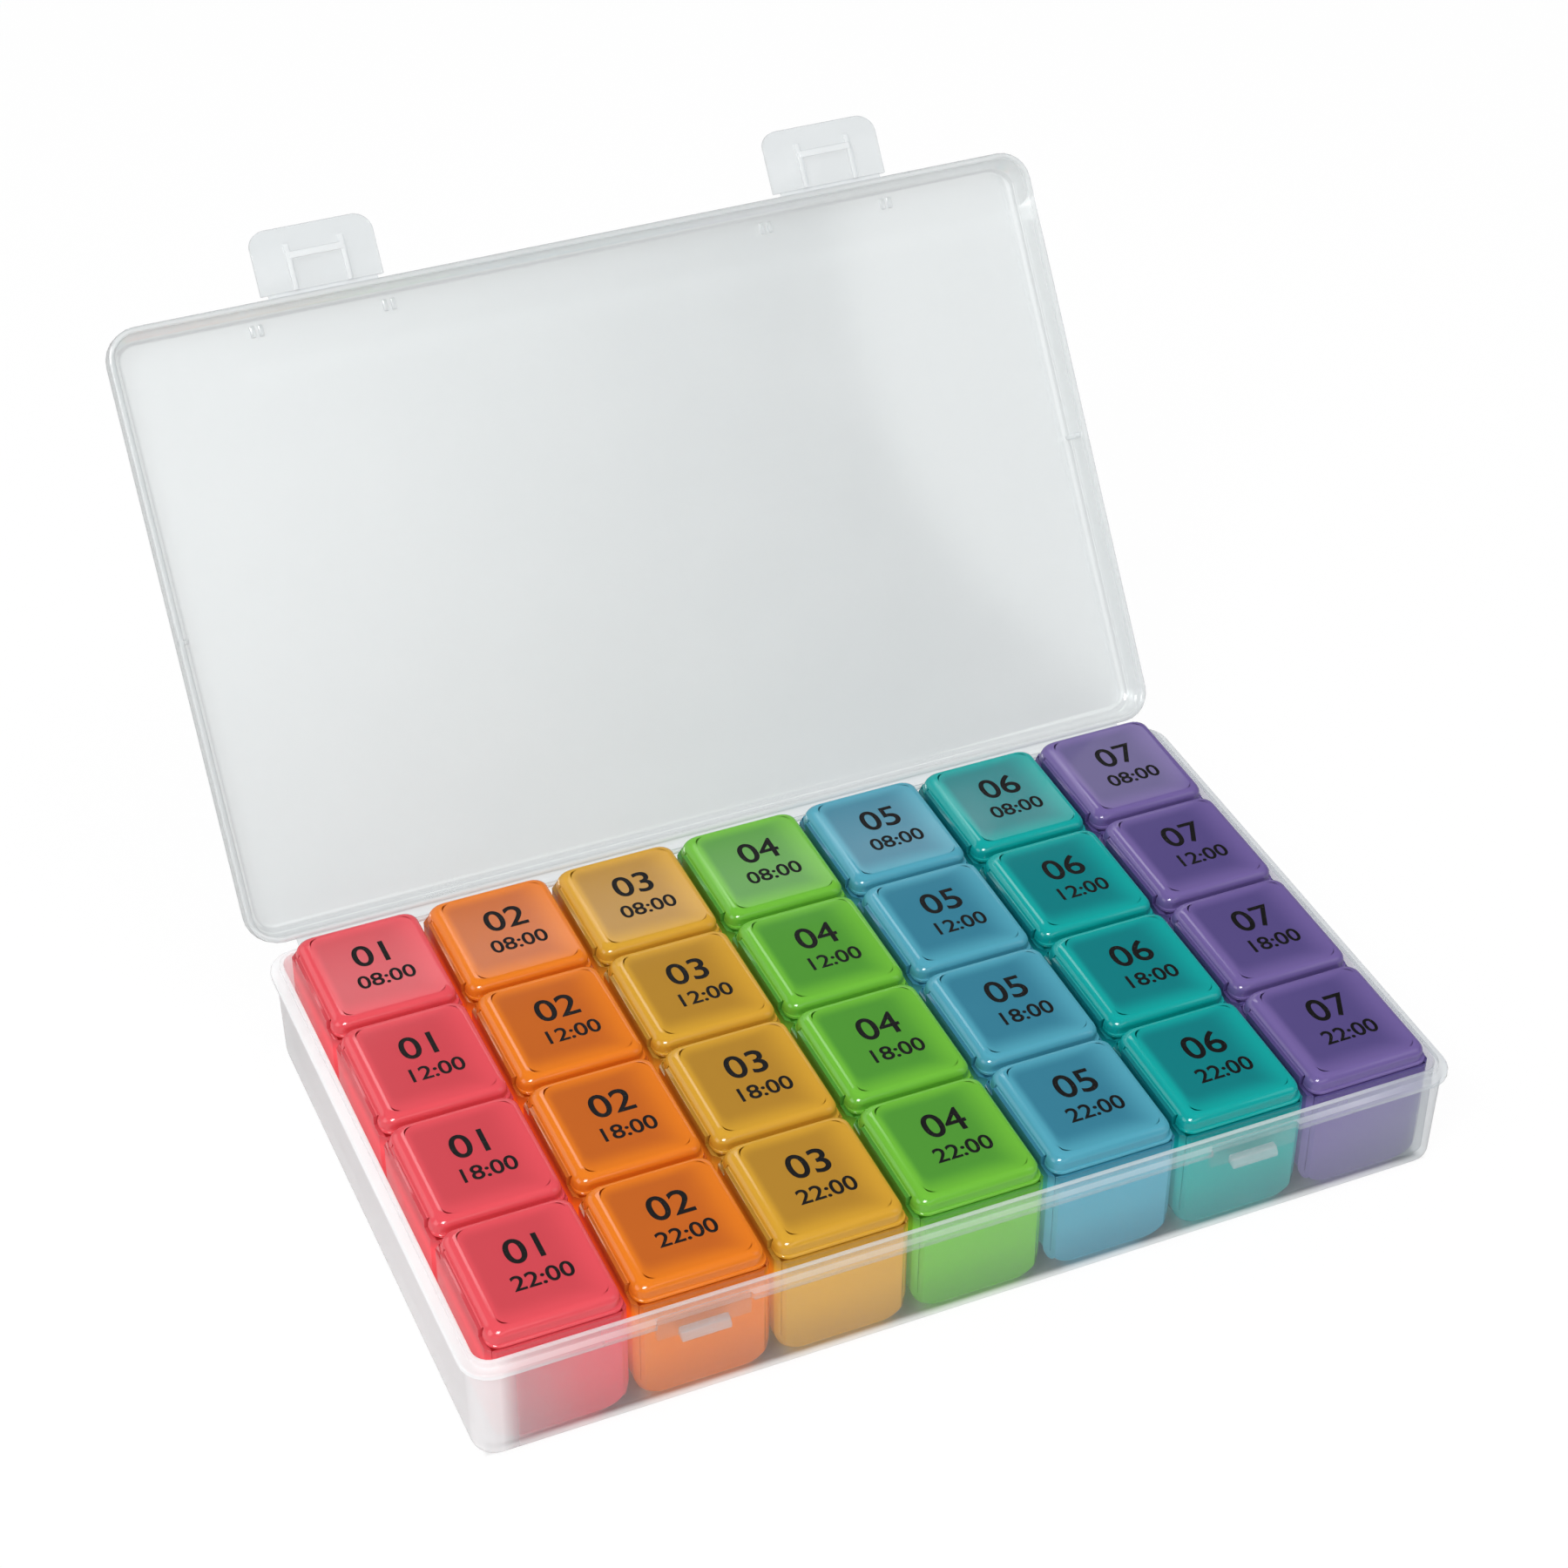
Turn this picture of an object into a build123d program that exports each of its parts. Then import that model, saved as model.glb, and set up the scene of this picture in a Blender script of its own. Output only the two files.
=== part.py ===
from build123d import *
import math
import os

# Weekly pill case: a hinged, latched case that holds seven lift-out strips of four capped compartments.
# The frame has X along the case, Y from front to back and Z up, with its origin at the middle of the
# tray's underside. The case stands open, with its lid leaning back and both latches unfolded.

# The strips, from left to right, and the compartments in each of them.
colours = ["red", "orange", "yellow", "green", "blue", "teal", "purple"]
compartment_count = 4
strip_pitch = 30.0
strip_gap = 1.0
compartment_pitch = 32.0
strip_height = 25.7
strip_wall = 1.1
strip_end_wall = 0.75
strip_floor = 1.3
strip_corner_bevel = 1.9
strip_bottom_radius = 5.0
strip_end_bevel = 0.9
strip_notch_depth = 1.6
scoop_bevel = 3.6

# The caps: a flat lid on each compartment, with a round shoulder along its hinged left edge.
cap_height = 3.9
cap_plate = 1.0
cap_gap = 0.6
cap_left_setback = 0.6
cap_right_setback = 0.3
cap_shoulder_radius = 3.0
cap_edge_bevel = 1.1
cap_corner_bevel = 1.6
cap_foot_height = 0.9
cap_foot_width = 0.45
plug_depth = 1.0
plug_wall = 0.8
plug_clearance = 0.5

# The living hinge of each cap: a tongue on the strip's wall, and a thin web from it to the shoulder.
cap_hinge_length = 22.0
cap_hinge_clearance = 0.35
cap_web_height = 0.4
cap_web_width = 0.45
cap_hinge_rise = 1.35

# The tray.
tray_floor = 1.6
tray_wall = 1.3
tray_draft = 1.2
tray_corner_radius = 5.0
tray_bottom_radius = 2.6
strip_side_clearance = 2.2
strip_end_clearance = 0.4
strip_reveal = 2.4
flange_overhang = 1.2
flange_thickness = 1.4
flange_corner_radius = 6.4
lip_height = 1.5
lip_thickness = 0.9

# The case lid and its living hinge on the tray's back flange.
lid_open_angle = 125.7
lid_overhang = 2.2
lid_corner_radius = 7.0
lid_wall = 1.3
lid_edge_radius = 3.4
lid_inside_bevel = 1.2
lid_headroom = 1.25
lid_hinge_offset = 0.7
lid_hinge_inset = 9.5
lid_web_thickness = 0.6
side_rib_width = 1.2
side_rib_depth = 1.4
side_rib_drop = 2.4
bump_length = 2.6
bump_width = 1.0
bump_spacing = 1.9
bump_height = 0.7
bump_setback = 5.6

# The two latches on the lid's front edge, and what they close on.
latch_offset = 61.0
latch_width = 28.0
latch_length = 14.2
latch_thickness = 1.4
latch_corner_radius = 4.0
latch_flare_length = 4.2
latch_flare = 1.1
latch_clearance = 0.2
latch_hinge_offset = 0.4
latch_hinge_rise = 0.5
latch_web_width = 25.0
latch_web_thickness = 0.5
latch_rib_spacing = 12.4
latch_rib_width = 1.2
latch_rib_height = 1.4
latch_rib_length = 10.6
latch_rib_fade = 4.0
hook_height = 1.5
hook_length = 1.5
hook_clearance = 0.2
latch_gap = 20.0
catch_width = 10.5
catch_height = 3.0
catch_drop = 3.6
catch_setback = 0.3
catch_bevel = 0.9
pad_height = 5.4
pad_rise = 0.3
pad_corner_radius = 1.8

# Shared clearances.
seat_clearance = 0.1
lid_clearance = 0.15
overrun = 1.0

# Heights of the stack, from the tray's underside up.
strip_bottom_z = tray_floor + seat_clearance
strip_rim_z = strip_bottom_z + strip_height
cap_bottom_z = strip_rim_z + seat_clearance
cap_top_z = cap_bottom_z + cap_height
tray_height = strip_rim_z - strip_reveal
lip_top_z = tray_height + lip_height
lid_height = cap_top_z + lid_headroom + lid_wall - tray_height - lid_clearance

# Plan sizes, from the strips outwards.
strip_width = strip_pitch - strip_gap
strip_length = compartment_count * compartment_pitch - strip_wall + 2 * strip_end_wall
cavity_length = len(colours) * strip_pitch - strip_gap + 2 * strip_side_clearance
cavity_depth = strip_length + 2 * strip_end_clearance
cavity_corner_radius = tray_corner_radius - tray_wall
tray_length = cavity_length + 2 * tray_wall
tray_depth = cavity_depth + 2 * tray_wall
draft_slope = math.tan(math.radians(tray_draft))
wall_growth = tray_height * draft_slope
flange_length = tray_length + 2 * (wall_growth + flange_overhang)
flange_depth = tray_depth + 2 * (wall_growth + flange_overhang)
lid_length = tray_length + 2 * (wall_growth + lid_overhang)
lid_depth = tray_depth + 2 * (wall_growth + lid_overhang)

# The lid's own frame, on its hinge axis: X along the axis, Y away from the lid, Z out of its panel.
hinge_y = lid_depth / 2 + lid_hinge_offset
hinge_z = tray_height
lid_up = (0, math.sin(math.radians(lid_open_angle)), math.cos(math.radians(lid_open_angle)))
lid_frame = Plane(origin=(0, hinge_y, hinge_z), x_dir=(1, 0, 0), z_dir=lid_up)
lid_side = Plane(origin=lid_frame.origin, x_dir=lid_frame.y_dir, z_dir=lid_frame.x_dir)
lid_front_y = -hinge_y - lid_depth / 2
panel_inside = lid_clearance + lid_height - lid_wall

strip_places = [(i - (len(colours) - 1) / 2) * strip_pitch for i in range(len(colours))]
row_places = [((compartment_count - 1) / 2 - j) * compartment_pitch for j in range(compartment_count)]

# The cap's hinge line, measured from the middle of its compartment.
cap_left = -strip_width / 2 + cap_left_setback
cap_right = strip_width / 2 - cap_right_setback
cap_width = cap_right - cap_left
cap_length = compartment_pitch - cap_gap
tongue_inside = -strip_width / 2 + strip_wall
notch_wall = tongue_inside + cap_hinge_clearance
cap_hinge_z = cap_top_z - cap_shoulder_radius + cap_hinge_rise
tongue_top_z = cap_hinge_z - cap_web_height / 2
notch_top_z = cap_hinge_z + cap_web_height / 2

os.makedirs("parts", exist_ok=True)


def save(part, name):
    """Labels a finished piece and writes it to its own file."""
    part.label = name
    export_step(part, f"parts/{name}.step")


def front_plane(x, y):
    """A plane across the case through a point, for a section seen from the front."""
    return Plane(origin=(x, y, 0), x_dir=Plane.XZ.x_dir, z_dir=Plane.XZ.z_dir)


def side_plane(x, y):
    """A plane along the case through a point, for a section seen from the right."""
    return Plane(origin=(x, y, 0), x_dir=Plane.YZ.x_dir, z_dir=Plane.YZ.z_dir)


def make_tray():
    """The open case: drafted walls, an outward flange with a raised lip inside it, and two catches."""
    catch_top_z = tray_height - catch_drop
    catch_z = catch_top_z - catch_height / 2
    wall_middle = tray_depth / 2 - tray_wall / 4
    flange_front = -flange_depth / 2
    wall_front = -tray_depth / 2 - wall_growth
    with BuildPart() as tray:
        with BuildSketch():
            RectangleRounded(tray_length, tray_depth, tray_corner_radius)
        extrude(amount=tray_height, taper=-tray_draft)
        fillet(tray.faces().sort_by(Axis.Z)[0].edges(), tray_bottom_radius)
        with BuildSketch(Plane.XY.offset(tray_height - flange_thickness)):
            RectangleRounded(flange_length, flange_depth, flange_corner_radius)
        extrude(amount=flange_thickness)
        # The flange stops beside each latch, where a shallow pad and a catch stand on the bare wall.
        with BuildSketch(Plane.XY.offset(tray_height + overrun)):
            with Locations((-latch_offset, flange_front), (latch_offset, flange_front)):
                Rectangle(latch_gap, 2 * (wall_front - flange_front))
        extrude(amount=-flange_thickness - 2 * overrun, mode=Mode.SUBTRACT)
        with BuildSketch(Plane.XZ.offset(wall_middle)) as pads:
            with Locations((-latch_offset, tray_height), (latch_offset, tray_height)):
                Rectangle(latch_gap, pad_height, align=(Align.CENTER, Align.MAX))
            fillet(pads.vertices().group_by(Axis.Y)[0], pad_corner_radius)
        extrude(amount=-wall_front + pad_rise - wall_middle)
        with BuildSketch(Plane.XZ.offset(wall_middle)):
            with Locations((-latch_offset, catch_z), (latch_offset, catch_z)):
                Rectangle(catch_width, catch_height)
        extrude(amount=lid_depth / 2 - catch_setback - wall_middle)
        catch_fronts = tray.edges().filter_by(Axis.X).filter_by_position(
            Axis.Z, catch_top_z - seat_clearance, catch_top_z + seat_clearance
        )
        chamfer(catch_fronts.group_by(Axis.Y)[0], catch_bevel)
        with BuildSketch(Plane.XY.offset(tray_height)):
            RectangleRounded(
                cavity_length + 2 * lip_thickness,
                cavity_depth + 2 * lip_thickness,
                cavity_corner_radius + lip_thickness,
            )
        extrude(amount=lip_height)
        with BuildSketch(Plane.XY.offset(tray_floor)):
            RectangleRounded(cavity_length, cavity_depth, cavity_corner_radius)
        extrude(amount=lip_top_z - tray_floor + overrun, mode=Mode.SUBTRACT)
    save(tray.part, "tray")


def make_case_lid():
    """The shallow lid, leaning back open: a round-edged pan with ribs at mid-depth and bumps at the latches."""
    lid_axis = Axis(lid_frame.origin, lid_frame.z_dir)
    rib_x = lid_length / 2 - lid_wall - side_rib_depth / 2
    bump_y = lid_front_y + bump_setback
    bump_places = [
        (side * latch_offset + end * (latch_width + bump_length) / 2 + pair * bump_spacing / 2, bump_y)
        for side in (-1, 1)
        for end in (-1, 1)
        for pair in (-1, 1)
    ]
    with BuildPart() as lid:
        with BuildSketch(lid_frame.offset(lid_clearance)):
            with Locations((0, -hinge_y)):
                RectangleRounded(lid_length, lid_depth, lid_corner_radius)
        extrude(amount=lid_height)
        fillet(lid.faces().sort_by(lid_axis)[-1].edges(), lid_edge_radius)
        with BuildSketch(lid_frame.offset(lid_clearance)):
            with Locations((0, -hinge_y)):
                RectangleRounded(
                    lid_length - 2 * lid_wall,
                    lid_depth - 2 * lid_wall,
                    lid_corner_radius - lid_wall,
                )
        extrude(amount=lid_height - lid_wall, mode=Mode.SUBTRACT)
        chamfer(lid.faces().filter_by(lid_axis).sort_by(lid_axis)[-2].edges(), lid_inside_bevel)
        with BuildSketch(lid_frame.offset(lid_clearance + side_rib_drop)):
            with Locations((-rib_x, -hinge_y), (rib_x, -hinge_y)):
                Rectangle(side_rib_depth + lid_wall, side_rib_width)
        extrude(amount=lid_height - side_rib_drop - lid_wall / 2)
        with BuildSketch(lid_frame.offset(panel_inside - bump_height)):
            with Locations(*bump_places):
                Rectangle(bump_width, bump_length)
        extrude(amount=bump_height + lid_wall / 2)
    save(lid.part, "case_lid")


def make_lid_web():
    """The lid's living hinge: a thin web from the tray's back flange to the lid's back edge."""
    back_y = flange_depth / 2
    on_lid = [(0, -lid_hinge_offset, lid_clearance + step) for step in (lid_web_thickness, 0)]
    lid_side_points = [lid_frame.from_local_coords(point) for point in on_lid]
    with BuildPart() as web:
        with BuildSketch(Plane.YZ):
            with BuildLine():
                Polyline(
                    (back_y, hinge_z),
                    (back_y, hinge_z - lid_web_thickness),
                    *[(point.Y, point.Z) for point in lid_side_points],
                    close=True,
                )
            make_face()
        extrude(amount=lid_length / 2 - lid_hinge_inset, both=True)
    save(web.part, "lid_hinge_web")


def make_latch(name, side):
    """A latch, unfolded: a flared finger plate with two ribs and a hook bar between them, and its web."""
    hinge_line = lid_front_y - latch_hinge_offset
    root = hinge_line - latch_hinge_offset
    tip = root - latch_length
    inside = latch_hinge_rise - latch_clearance
    flare_start = tip + latch_flare_length
    rib_end = root - latch_rib_length
    hook_y = hinge_line - (hinge_z + latch_hinge_rise - tray_height + catch_drop + catch_height + hook_clearance)
    latch_plane = Plane(
        origin=lid_frame.from_local_coords((side * latch_offset, 0, 0)),
        x_dir=lid_side.x_dir,
        z_dir=lid_side.z_dir,
    )
    plan_plane = Plane(origin=latch_plane.origin, x_dir=lid_frame.x_dir, z_dir=lid_frame.z_dir)
    with BuildPart() as latch:
        with BuildSketch(latch_plane):
            with BuildLine():
                Polyline(
                    (root, inside),
                    (flare_start, inside),
                    (tip, inside + latch_flare),
                    (tip, inside + latch_flare + latch_thickness),
                    (flare_start, inside + latch_thickness),
                    (root, inside + latch_thickness),
                    close=True,
                )
            make_face()
        extrude(amount=latch_width / 2, both=True)
        with BuildSketch(plan_plane) as plan:
            with Locations((0, (root + tip) / 2)):
                Rectangle(latch_width, latch_length)
            fillet(plan.vertices().group_by(Axis.Y)[0], latch_corner_radius)
        extrude(amount=latch_width / 2, both=True, mode=Mode.INTERSECT)
        # Each rib stands on the inside of the plate and sweeps down to nothing towards the tip.
        for rib_side in (-1, 1):
            with BuildSketch(latch_plane.offset(rib_side * latch_rib_spacing / 2)):
                with BuildLine():
                    Polyline(
                        (rib_end + latch_rib_fade, inside - latch_rib_height),
                        (root, inside - latch_rib_height),
                        (root, inside + latch_thickness / 2),
                        (rib_end, inside + latch_thickness / 2),
                        (rib_end, inside),
                    )
                    TangentArc(
                        (rib_end + latch_rib_fade, inside - latch_rib_height),
                        (rib_end, inside),
                        tangent=(-1, 0),
                    )
                make_face()
            extrude(amount=latch_rib_width / 2, both=True)
        with BuildSketch(latch_plane):
            with Locations((hook_y - hook_length / 2, inside - hook_height / 2 + latch_thickness / 4)):
                Rectangle(hook_length, hook_height + latch_thickness / 2)
        extrude(amount=latch_rib_spacing / 2, both=True)
    save(latch.part, f"{name}_latch")

    web_low = latch_hinge_rise - latch_web_thickness / 2
    with BuildPart() as web:
        with BuildSketch(latch_plane):
            with Locations((hinge_line, web_low + latch_web_thickness / 2)):
                Rectangle(2 * latch_hinge_offset, latch_web_thickness)
        extrude(amount=latch_web_width / 2, both=True)
    save(web.part, f"{name}_latch_web")


def make_strip(colour, strip_x):
    """A lift-out strip of joined cups, with sloped floors and a hinge tongue beside each compartment."""
    cup_places = [(strip_x, row_y) for row_y in row_places]
    notch_places = [
        (strip_x + side * strip_width / 2, row_y - compartment_pitch / 2)
        for row_y in row_places[:-1]
        for side in (-1, 1)
    ]
    notch_side = strip_notch_depth * math.sqrt(2)
    inner_width = strip_width - 2 * strip_wall
    inner_length = compartment_pitch - strip_wall
    front = front_plane(strip_x, 0)
    side = side_plane(strip_x, 0)
    tongue_x = (tongue_inside - strip_width / 2) / 2
    with BuildPart() as strip:
        with BuildSketch(Plane.XY.offset(strip_bottom_z)) as plan:
            with Locations((strip_x, 0)):
                Rectangle(strip_width, strip_length)
            chamfer(plan.vertices(), strip_corner_bevel)
            with Locations(*notch_places):
                Rectangle(notch_side, notch_side, rotation=45, mode=Mode.SUBTRACT)
        extrude(amount=strip_height)
        # Round bottom edges along both sides, and bevelled ones at both ends.
        with BuildSketch(front) as profile:
            with Locations((0, strip_bottom_z)):
                Rectangle(strip_width, strip_height, align=(Align.CENTER, Align.MIN))
            fillet(profile.vertices().group_by(Axis.Y)[0], strip_bottom_radius)
        extrude(amount=strip_length, both=True, mode=Mode.INTERSECT)
        with BuildSketch(side) as ends:
            with Locations((0, strip_bottom_z)):
                Rectangle(strip_length, strip_height, align=(Align.CENTER, Align.MIN))
            chamfer(ends.vertices().group_by(Axis.Y)[0], strip_end_bevel)
        extrude(amount=strip_width, both=True, mode=Mode.INTERSECT)
        with BuildSketch(Plane.XY.offset(strip_rim_z)):
            with Locations(*[(strip_x + tongue_x, row_y) for row_y in row_places]):
                Rectangle(strip_wall, cap_hinge_length)
        extrude(amount=tongue_top_z - strip_rim_z)
    # The compartments: straight walls, with a slope along each side so that pills roll to the middle.
    with BuildPart() as rooms:
        with BuildSketch(Plane.XY.offset(strip_bottom_z + strip_floor)):
            with Locations(*cup_places):
                Rectangle(inner_width, inner_length)
        extrude(amount=strip_height)
        with BuildSketch(front) as scoop:
            with Locations((0, strip_bottom_z + strip_floor)):
                Rectangle(inner_width, 2 * strip_height, align=(Align.CENTER, Align.MIN))
            chamfer(scoop.vertices().group_by(Axis.Y)[0], scoop_bevel)
        extrude(amount=strip_length / 2, both=True, mode=Mode.INTERSECT)
    with BuildPart() as hollow_strip:
        add(strip.part)
        add(rooms.part, mode=Mode.SUBTRACT)
    save(hollow_strip.part, f"{colour}_strip")


def make_cap(colour, number, strip_x, row_y):
    """A compartment's cap: a bevelled lid on a low foot, with a plug that drops into the compartment."""
    front = front_plane(strip_x, row_y)
    side = side_plane(strip_x, row_y)
    upper_width = cap_width - cap_foot_width
    upper_length = cap_length - 2 * cap_foot_width
    middle_x = strip_x + (cap_left + cap_right) / 2
    plug_left = cap_left + cap_shoulder_radius
    plug_right = strip_width / 2 - strip_wall - plug_clearance
    plug_length = compartment_pitch - strip_wall - 2 * plug_clearance
    plug_middle = strip_x + (plug_left + plug_right) / 2
    with BuildPart() as cap:
        with BuildSketch(Plane.XY.offset(cap_bottom_z)) as upper_plan:
            with Locations((middle_x - cap_foot_width / 2, row_y)):
                Rectangle(upper_width, upper_length)
            chamfer(upper_plan.vertices(), cap_corner_bevel)
        extrude(amount=cap_height)
        with BuildSketch(front) as profile:
            with Locations((cap_left, cap_bottom_z)):
                Rectangle(upper_width, cap_height, align=(Align.MIN, Align.MIN))
            top_corners = profile.vertices().group_by(Axis.Y)[-1].sort_by(Axis.X)
            fillet(top_corners[0], cap_shoulder_radius)
            chamfer(top_corners[-1], cap_edge_bevel)
        extrude(amount=cap_length, both=True, mode=Mode.INTERSECT)
        with BuildSketch(side) as ends:
            with Locations((0, cap_bottom_z)):
                Rectangle(upper_length, cap_height, align=(Align.CENTER, Align.MIN))
            chamfer(ends.vertices().group_by(Axis.Y)[-1], cap_edge_bevel)
        extrude(amount=cap_width, both=True, mode=Mode.INTERSECT)
        with BuildSketch(Plane.XY.offset(cap_bottom_z)) as foot_plan:
            with Locations((middle_x, row_y)):
                Rectangle(cap_width, cap_length)
            chamfer(foot_plan.vertices(), cap_corner_bevel)
        extrude(amount=cap_foot_height)
        with BuildSketch(Plane.XY.offset(cap_bottom_z - plug_depth)):
            with Locations((plug_middle, row_y)):
                Rectangle(plug_right - plug_left, plug_length)
        extrude(amount=plug_depth)
        with BuildSketch(Plane.XY.offset(cap_bottom_z - plug_depth)):
            with Locations((plug_middle - plug_wall / 2, row_y)):
                Rectangle(plug_right - plug_left - plug_wall, plug_length - 2 * plug_wall)
        extrude(amount=plug_depth + cap_height - cap_plate, mode=Mode.SUBTRACT)
        # The notch along the shoulder that the strip's hinge tongue stands in.
        with BuildSketch(front):
            with Locations((notch_wall, notch_top_z)):
                Rectangle(cap_width, cap_height, align=(Align.MAX, Align.MAX))
        extrude(
            amount=cap_hinge_length / 2 + cap_hinge_clearance,
            both=True,
            mode=Mode.SUBTRACT,
        )
    save(cap.part, f"{colour}_cap_{number}")


def make_cap_webs(colour, strip_x):
    """The living hinges of one strip's caps: a thin slanting web along each hinge tongue."""
    shoulder_x = cap_left + cap_shoulder_radius
    shoulder_z = cap_top_z - cap_shoulder_radius
    shoulder_edge = shoulder_x - math.sqrt(cap_shoulder_radius**2 - (notch_top_z - shoulder_z) ** 2)
    with BuildPart() as webs:
        for row_y in row_places:
            with BuildSketch(front_plane(strip_x, row_y)):
                with BuildLine():
                    Polyline(
                        (tongue_inside - cap_web_width, tongue_top_z),
                        (tongue_inside, tongue_top_z),
                        (notch_wall, notch_top_z),
                        (shoulder_edge, notch_top_z),
                        close=True,
                    )
                make_face()
            extrude(amount=cap_hinge_length / 2, both=True)
    save(webs.part, f"{colour}_cap_hinges")


make_tray()
make_case_lid()
make_lid_web()
make_latch("left", -1)
make_latch("right", 1)
for colour, strip_x in zip(colours, strip_places):
    make_strip(colour, strip_x)
    make_cap_webs(colour, strip_x)
    for number, row_y in enumerate(row_places, start=1):
        make_cap(colour, number, strip_x, row_y)

print("case", round(lid_length, 1), "by", round(lid_depth, 1), "mm, lid", round(lid_height, 2), "mm high")
print("lid hinge at y", round(hinge_y, 3), "z", round(hinge_z, 3))
print("latch hinge in the lid's frame: y", round(lid_front_y - latch_hinge_offset, 3), "z", latch_hinge_rise)
print("cap hinge at x", round((tongue_inside + notch_wall - cap_web_width) / 2, 3), "z", round(cap_hinge_z, 3))
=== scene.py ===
# %% [markdown]
# # A medicine box with lift-out strips
#
# The box is a frosted case with a hinged lid and two finger latches. Seven coloured strips of four
# compartments lie in it, and each compartment has a cap on a living hinge. The solid model gives the
# places and the moving bodies, so this lesson starts by loading it. Every piece that is made later
# stands where the solid one stands and rides on the same body. The pieces are drawn in millimetres and
# scaled by `MM`. The lamps, the floor and the heights inside the paints are in metres, Blender's own
# unit.

import math

import bmesh
import bpy
import numpy as np
from mathutils import Matrix, Vector


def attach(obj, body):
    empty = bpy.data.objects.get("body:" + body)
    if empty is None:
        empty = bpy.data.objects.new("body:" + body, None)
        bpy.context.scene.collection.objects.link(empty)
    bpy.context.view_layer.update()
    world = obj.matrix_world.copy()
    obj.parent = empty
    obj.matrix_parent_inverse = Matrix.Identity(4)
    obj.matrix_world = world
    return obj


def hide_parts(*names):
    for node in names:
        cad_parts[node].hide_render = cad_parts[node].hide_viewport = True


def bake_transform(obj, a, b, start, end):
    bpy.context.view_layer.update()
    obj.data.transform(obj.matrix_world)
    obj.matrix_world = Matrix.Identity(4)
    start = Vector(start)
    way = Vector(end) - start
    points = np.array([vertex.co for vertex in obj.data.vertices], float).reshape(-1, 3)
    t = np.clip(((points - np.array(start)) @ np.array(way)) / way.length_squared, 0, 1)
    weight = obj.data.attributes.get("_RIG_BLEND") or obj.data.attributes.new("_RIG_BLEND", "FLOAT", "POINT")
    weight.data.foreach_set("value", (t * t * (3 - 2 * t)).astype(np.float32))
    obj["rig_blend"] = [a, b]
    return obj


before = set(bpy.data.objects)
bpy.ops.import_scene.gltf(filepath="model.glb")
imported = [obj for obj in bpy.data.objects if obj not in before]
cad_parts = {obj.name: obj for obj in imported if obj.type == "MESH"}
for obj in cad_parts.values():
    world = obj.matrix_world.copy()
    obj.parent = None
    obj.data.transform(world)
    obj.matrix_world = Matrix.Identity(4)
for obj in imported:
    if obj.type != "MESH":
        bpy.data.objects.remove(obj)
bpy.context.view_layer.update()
scene = bpy.context.scene
MM = 0.001

# %% [markdown]
# ## The camera
#
# A camera can be placed by eye, but this one was worked out from points of the box whose places are
# known, so its position and its three directions are plain numbers. The picture is square, so the lens
# follows from the width of the sensor alone: the focal length was found in pixels of the picture, and
# is turned into millimetres on the sensor.

# %% Place the camera
PIXELS_ACROSS = 1800
FOCAL_PIXELS = 3916.9
SENSOR_WIDTH = 36.0
NEAREST = 0.01
EYE = Vector((-232.88, -495.47, 508.01)) * MM
TO_RIGHT = Vector((0.91737, -0.39801, 0.00491))
TO_BOTTOM = Vector((-0.23907, -0.56079, -0.79269))
INTO_SCENE = Vector((0.31825, 0.72602, -0.60960))

camera_data = bpy.data.cameras.new("camera")
camera_data.sensor_width = SENSOR_WIDTH
camera_data.lens = SENSOR_WIDTH * FOCAL_PIXELS / PIXELS_ACROSS
camera_data.clip_start = NEAREST
camera = bpy.data.objects.new("camera", camera_data)
scene.collection.objects.link(camera)
turn = Matrix((TO_RIGHT, -TO_BOTTOM, -INTO_SCENE)).transposed().to_4x4()
camera.matrix_world = Matrix.Translation(EYE) @ turn
scene.camera = camera
print("camera at", [round(c, 4) for c in EYE], "lens", round(camera_data.lens, 2))

# %% [markdown]
# ## Shader maths as plain expressions
#
# A material is a tree of nodes, and most of its nodes are small sums. This class wraps one socket, so
# that a sum in Python adds the Math nodes by itself. Every other node comes from the one method `node`,
# which takes the node's type, its settings and what goes into its sockets.


# %% Wrap a socket
class Wire:
    """One value in a node tree, with the usual operators."""

    def __init__(self, tree, socket=None):
        self.tree = tree
        self.socket = socket

    def node(self, kind, settings=None, inputs=None, output=0):
        made = self.tree.nodes.new(kind)
        for key, value in (settings or {}).items():
            if key == "stops":
                for element, (place, grey) in zip(made.color_ramp.elements, value):
                    element.position = place
                    element.color = (grey, grey, grey, 1)
            else:
                setattr(made, key, value)
        for key, value in (inputs or {}).items():
            if isinstance(value, Wire):
                self.tree.links.new(value.socket, made.inputs[key])
            else:
                made.inputs[key].default_value = value
        return Wire(self.tree, made.outputs[output] if made.outputs else None)

    def sum(self, operation, first, second):
        return self.node("ShaderNodeMath", {"operation": operation}, {0: first, 1: second})

    def __add__(self, other):
        return self.sum("ADD", self, other)

    def __radd__(self, other):
        return self.sum("ADD", other, self)

    def __sub__(self, other):
        return self.sum("SUBTRACT", self, other)

    def __rsub__(self, other):
        return self.sum("SUBTRACT", other, self)

    def __mul__(self, other):
        return self.sum("MULTIPLY", self, other)

    def __rmul__(self, other):
        return self.sum("MULTIPLY", other, self)

    def __pow__(self, other):
        return self.sum("POWER", self, other)

    def __abs__(self):
        return self.sum("ABSOLUTE", self, 0)

    def top(self, other):
        """The larger of two values."""
        return self.sum("MAXIMUM", self, other)

    def least(self, other):
        """The smaller of two values."""
        return self.sum("MINIMUM", self, other)

    def mix(self, first, second):
        """A colour between two colours, with this value as the share of the second."""
        return self.node("ShaderNodeMix", {"data_type": "RGBA"}, {0: self, 6: first, 7: second}, 2)


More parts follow.
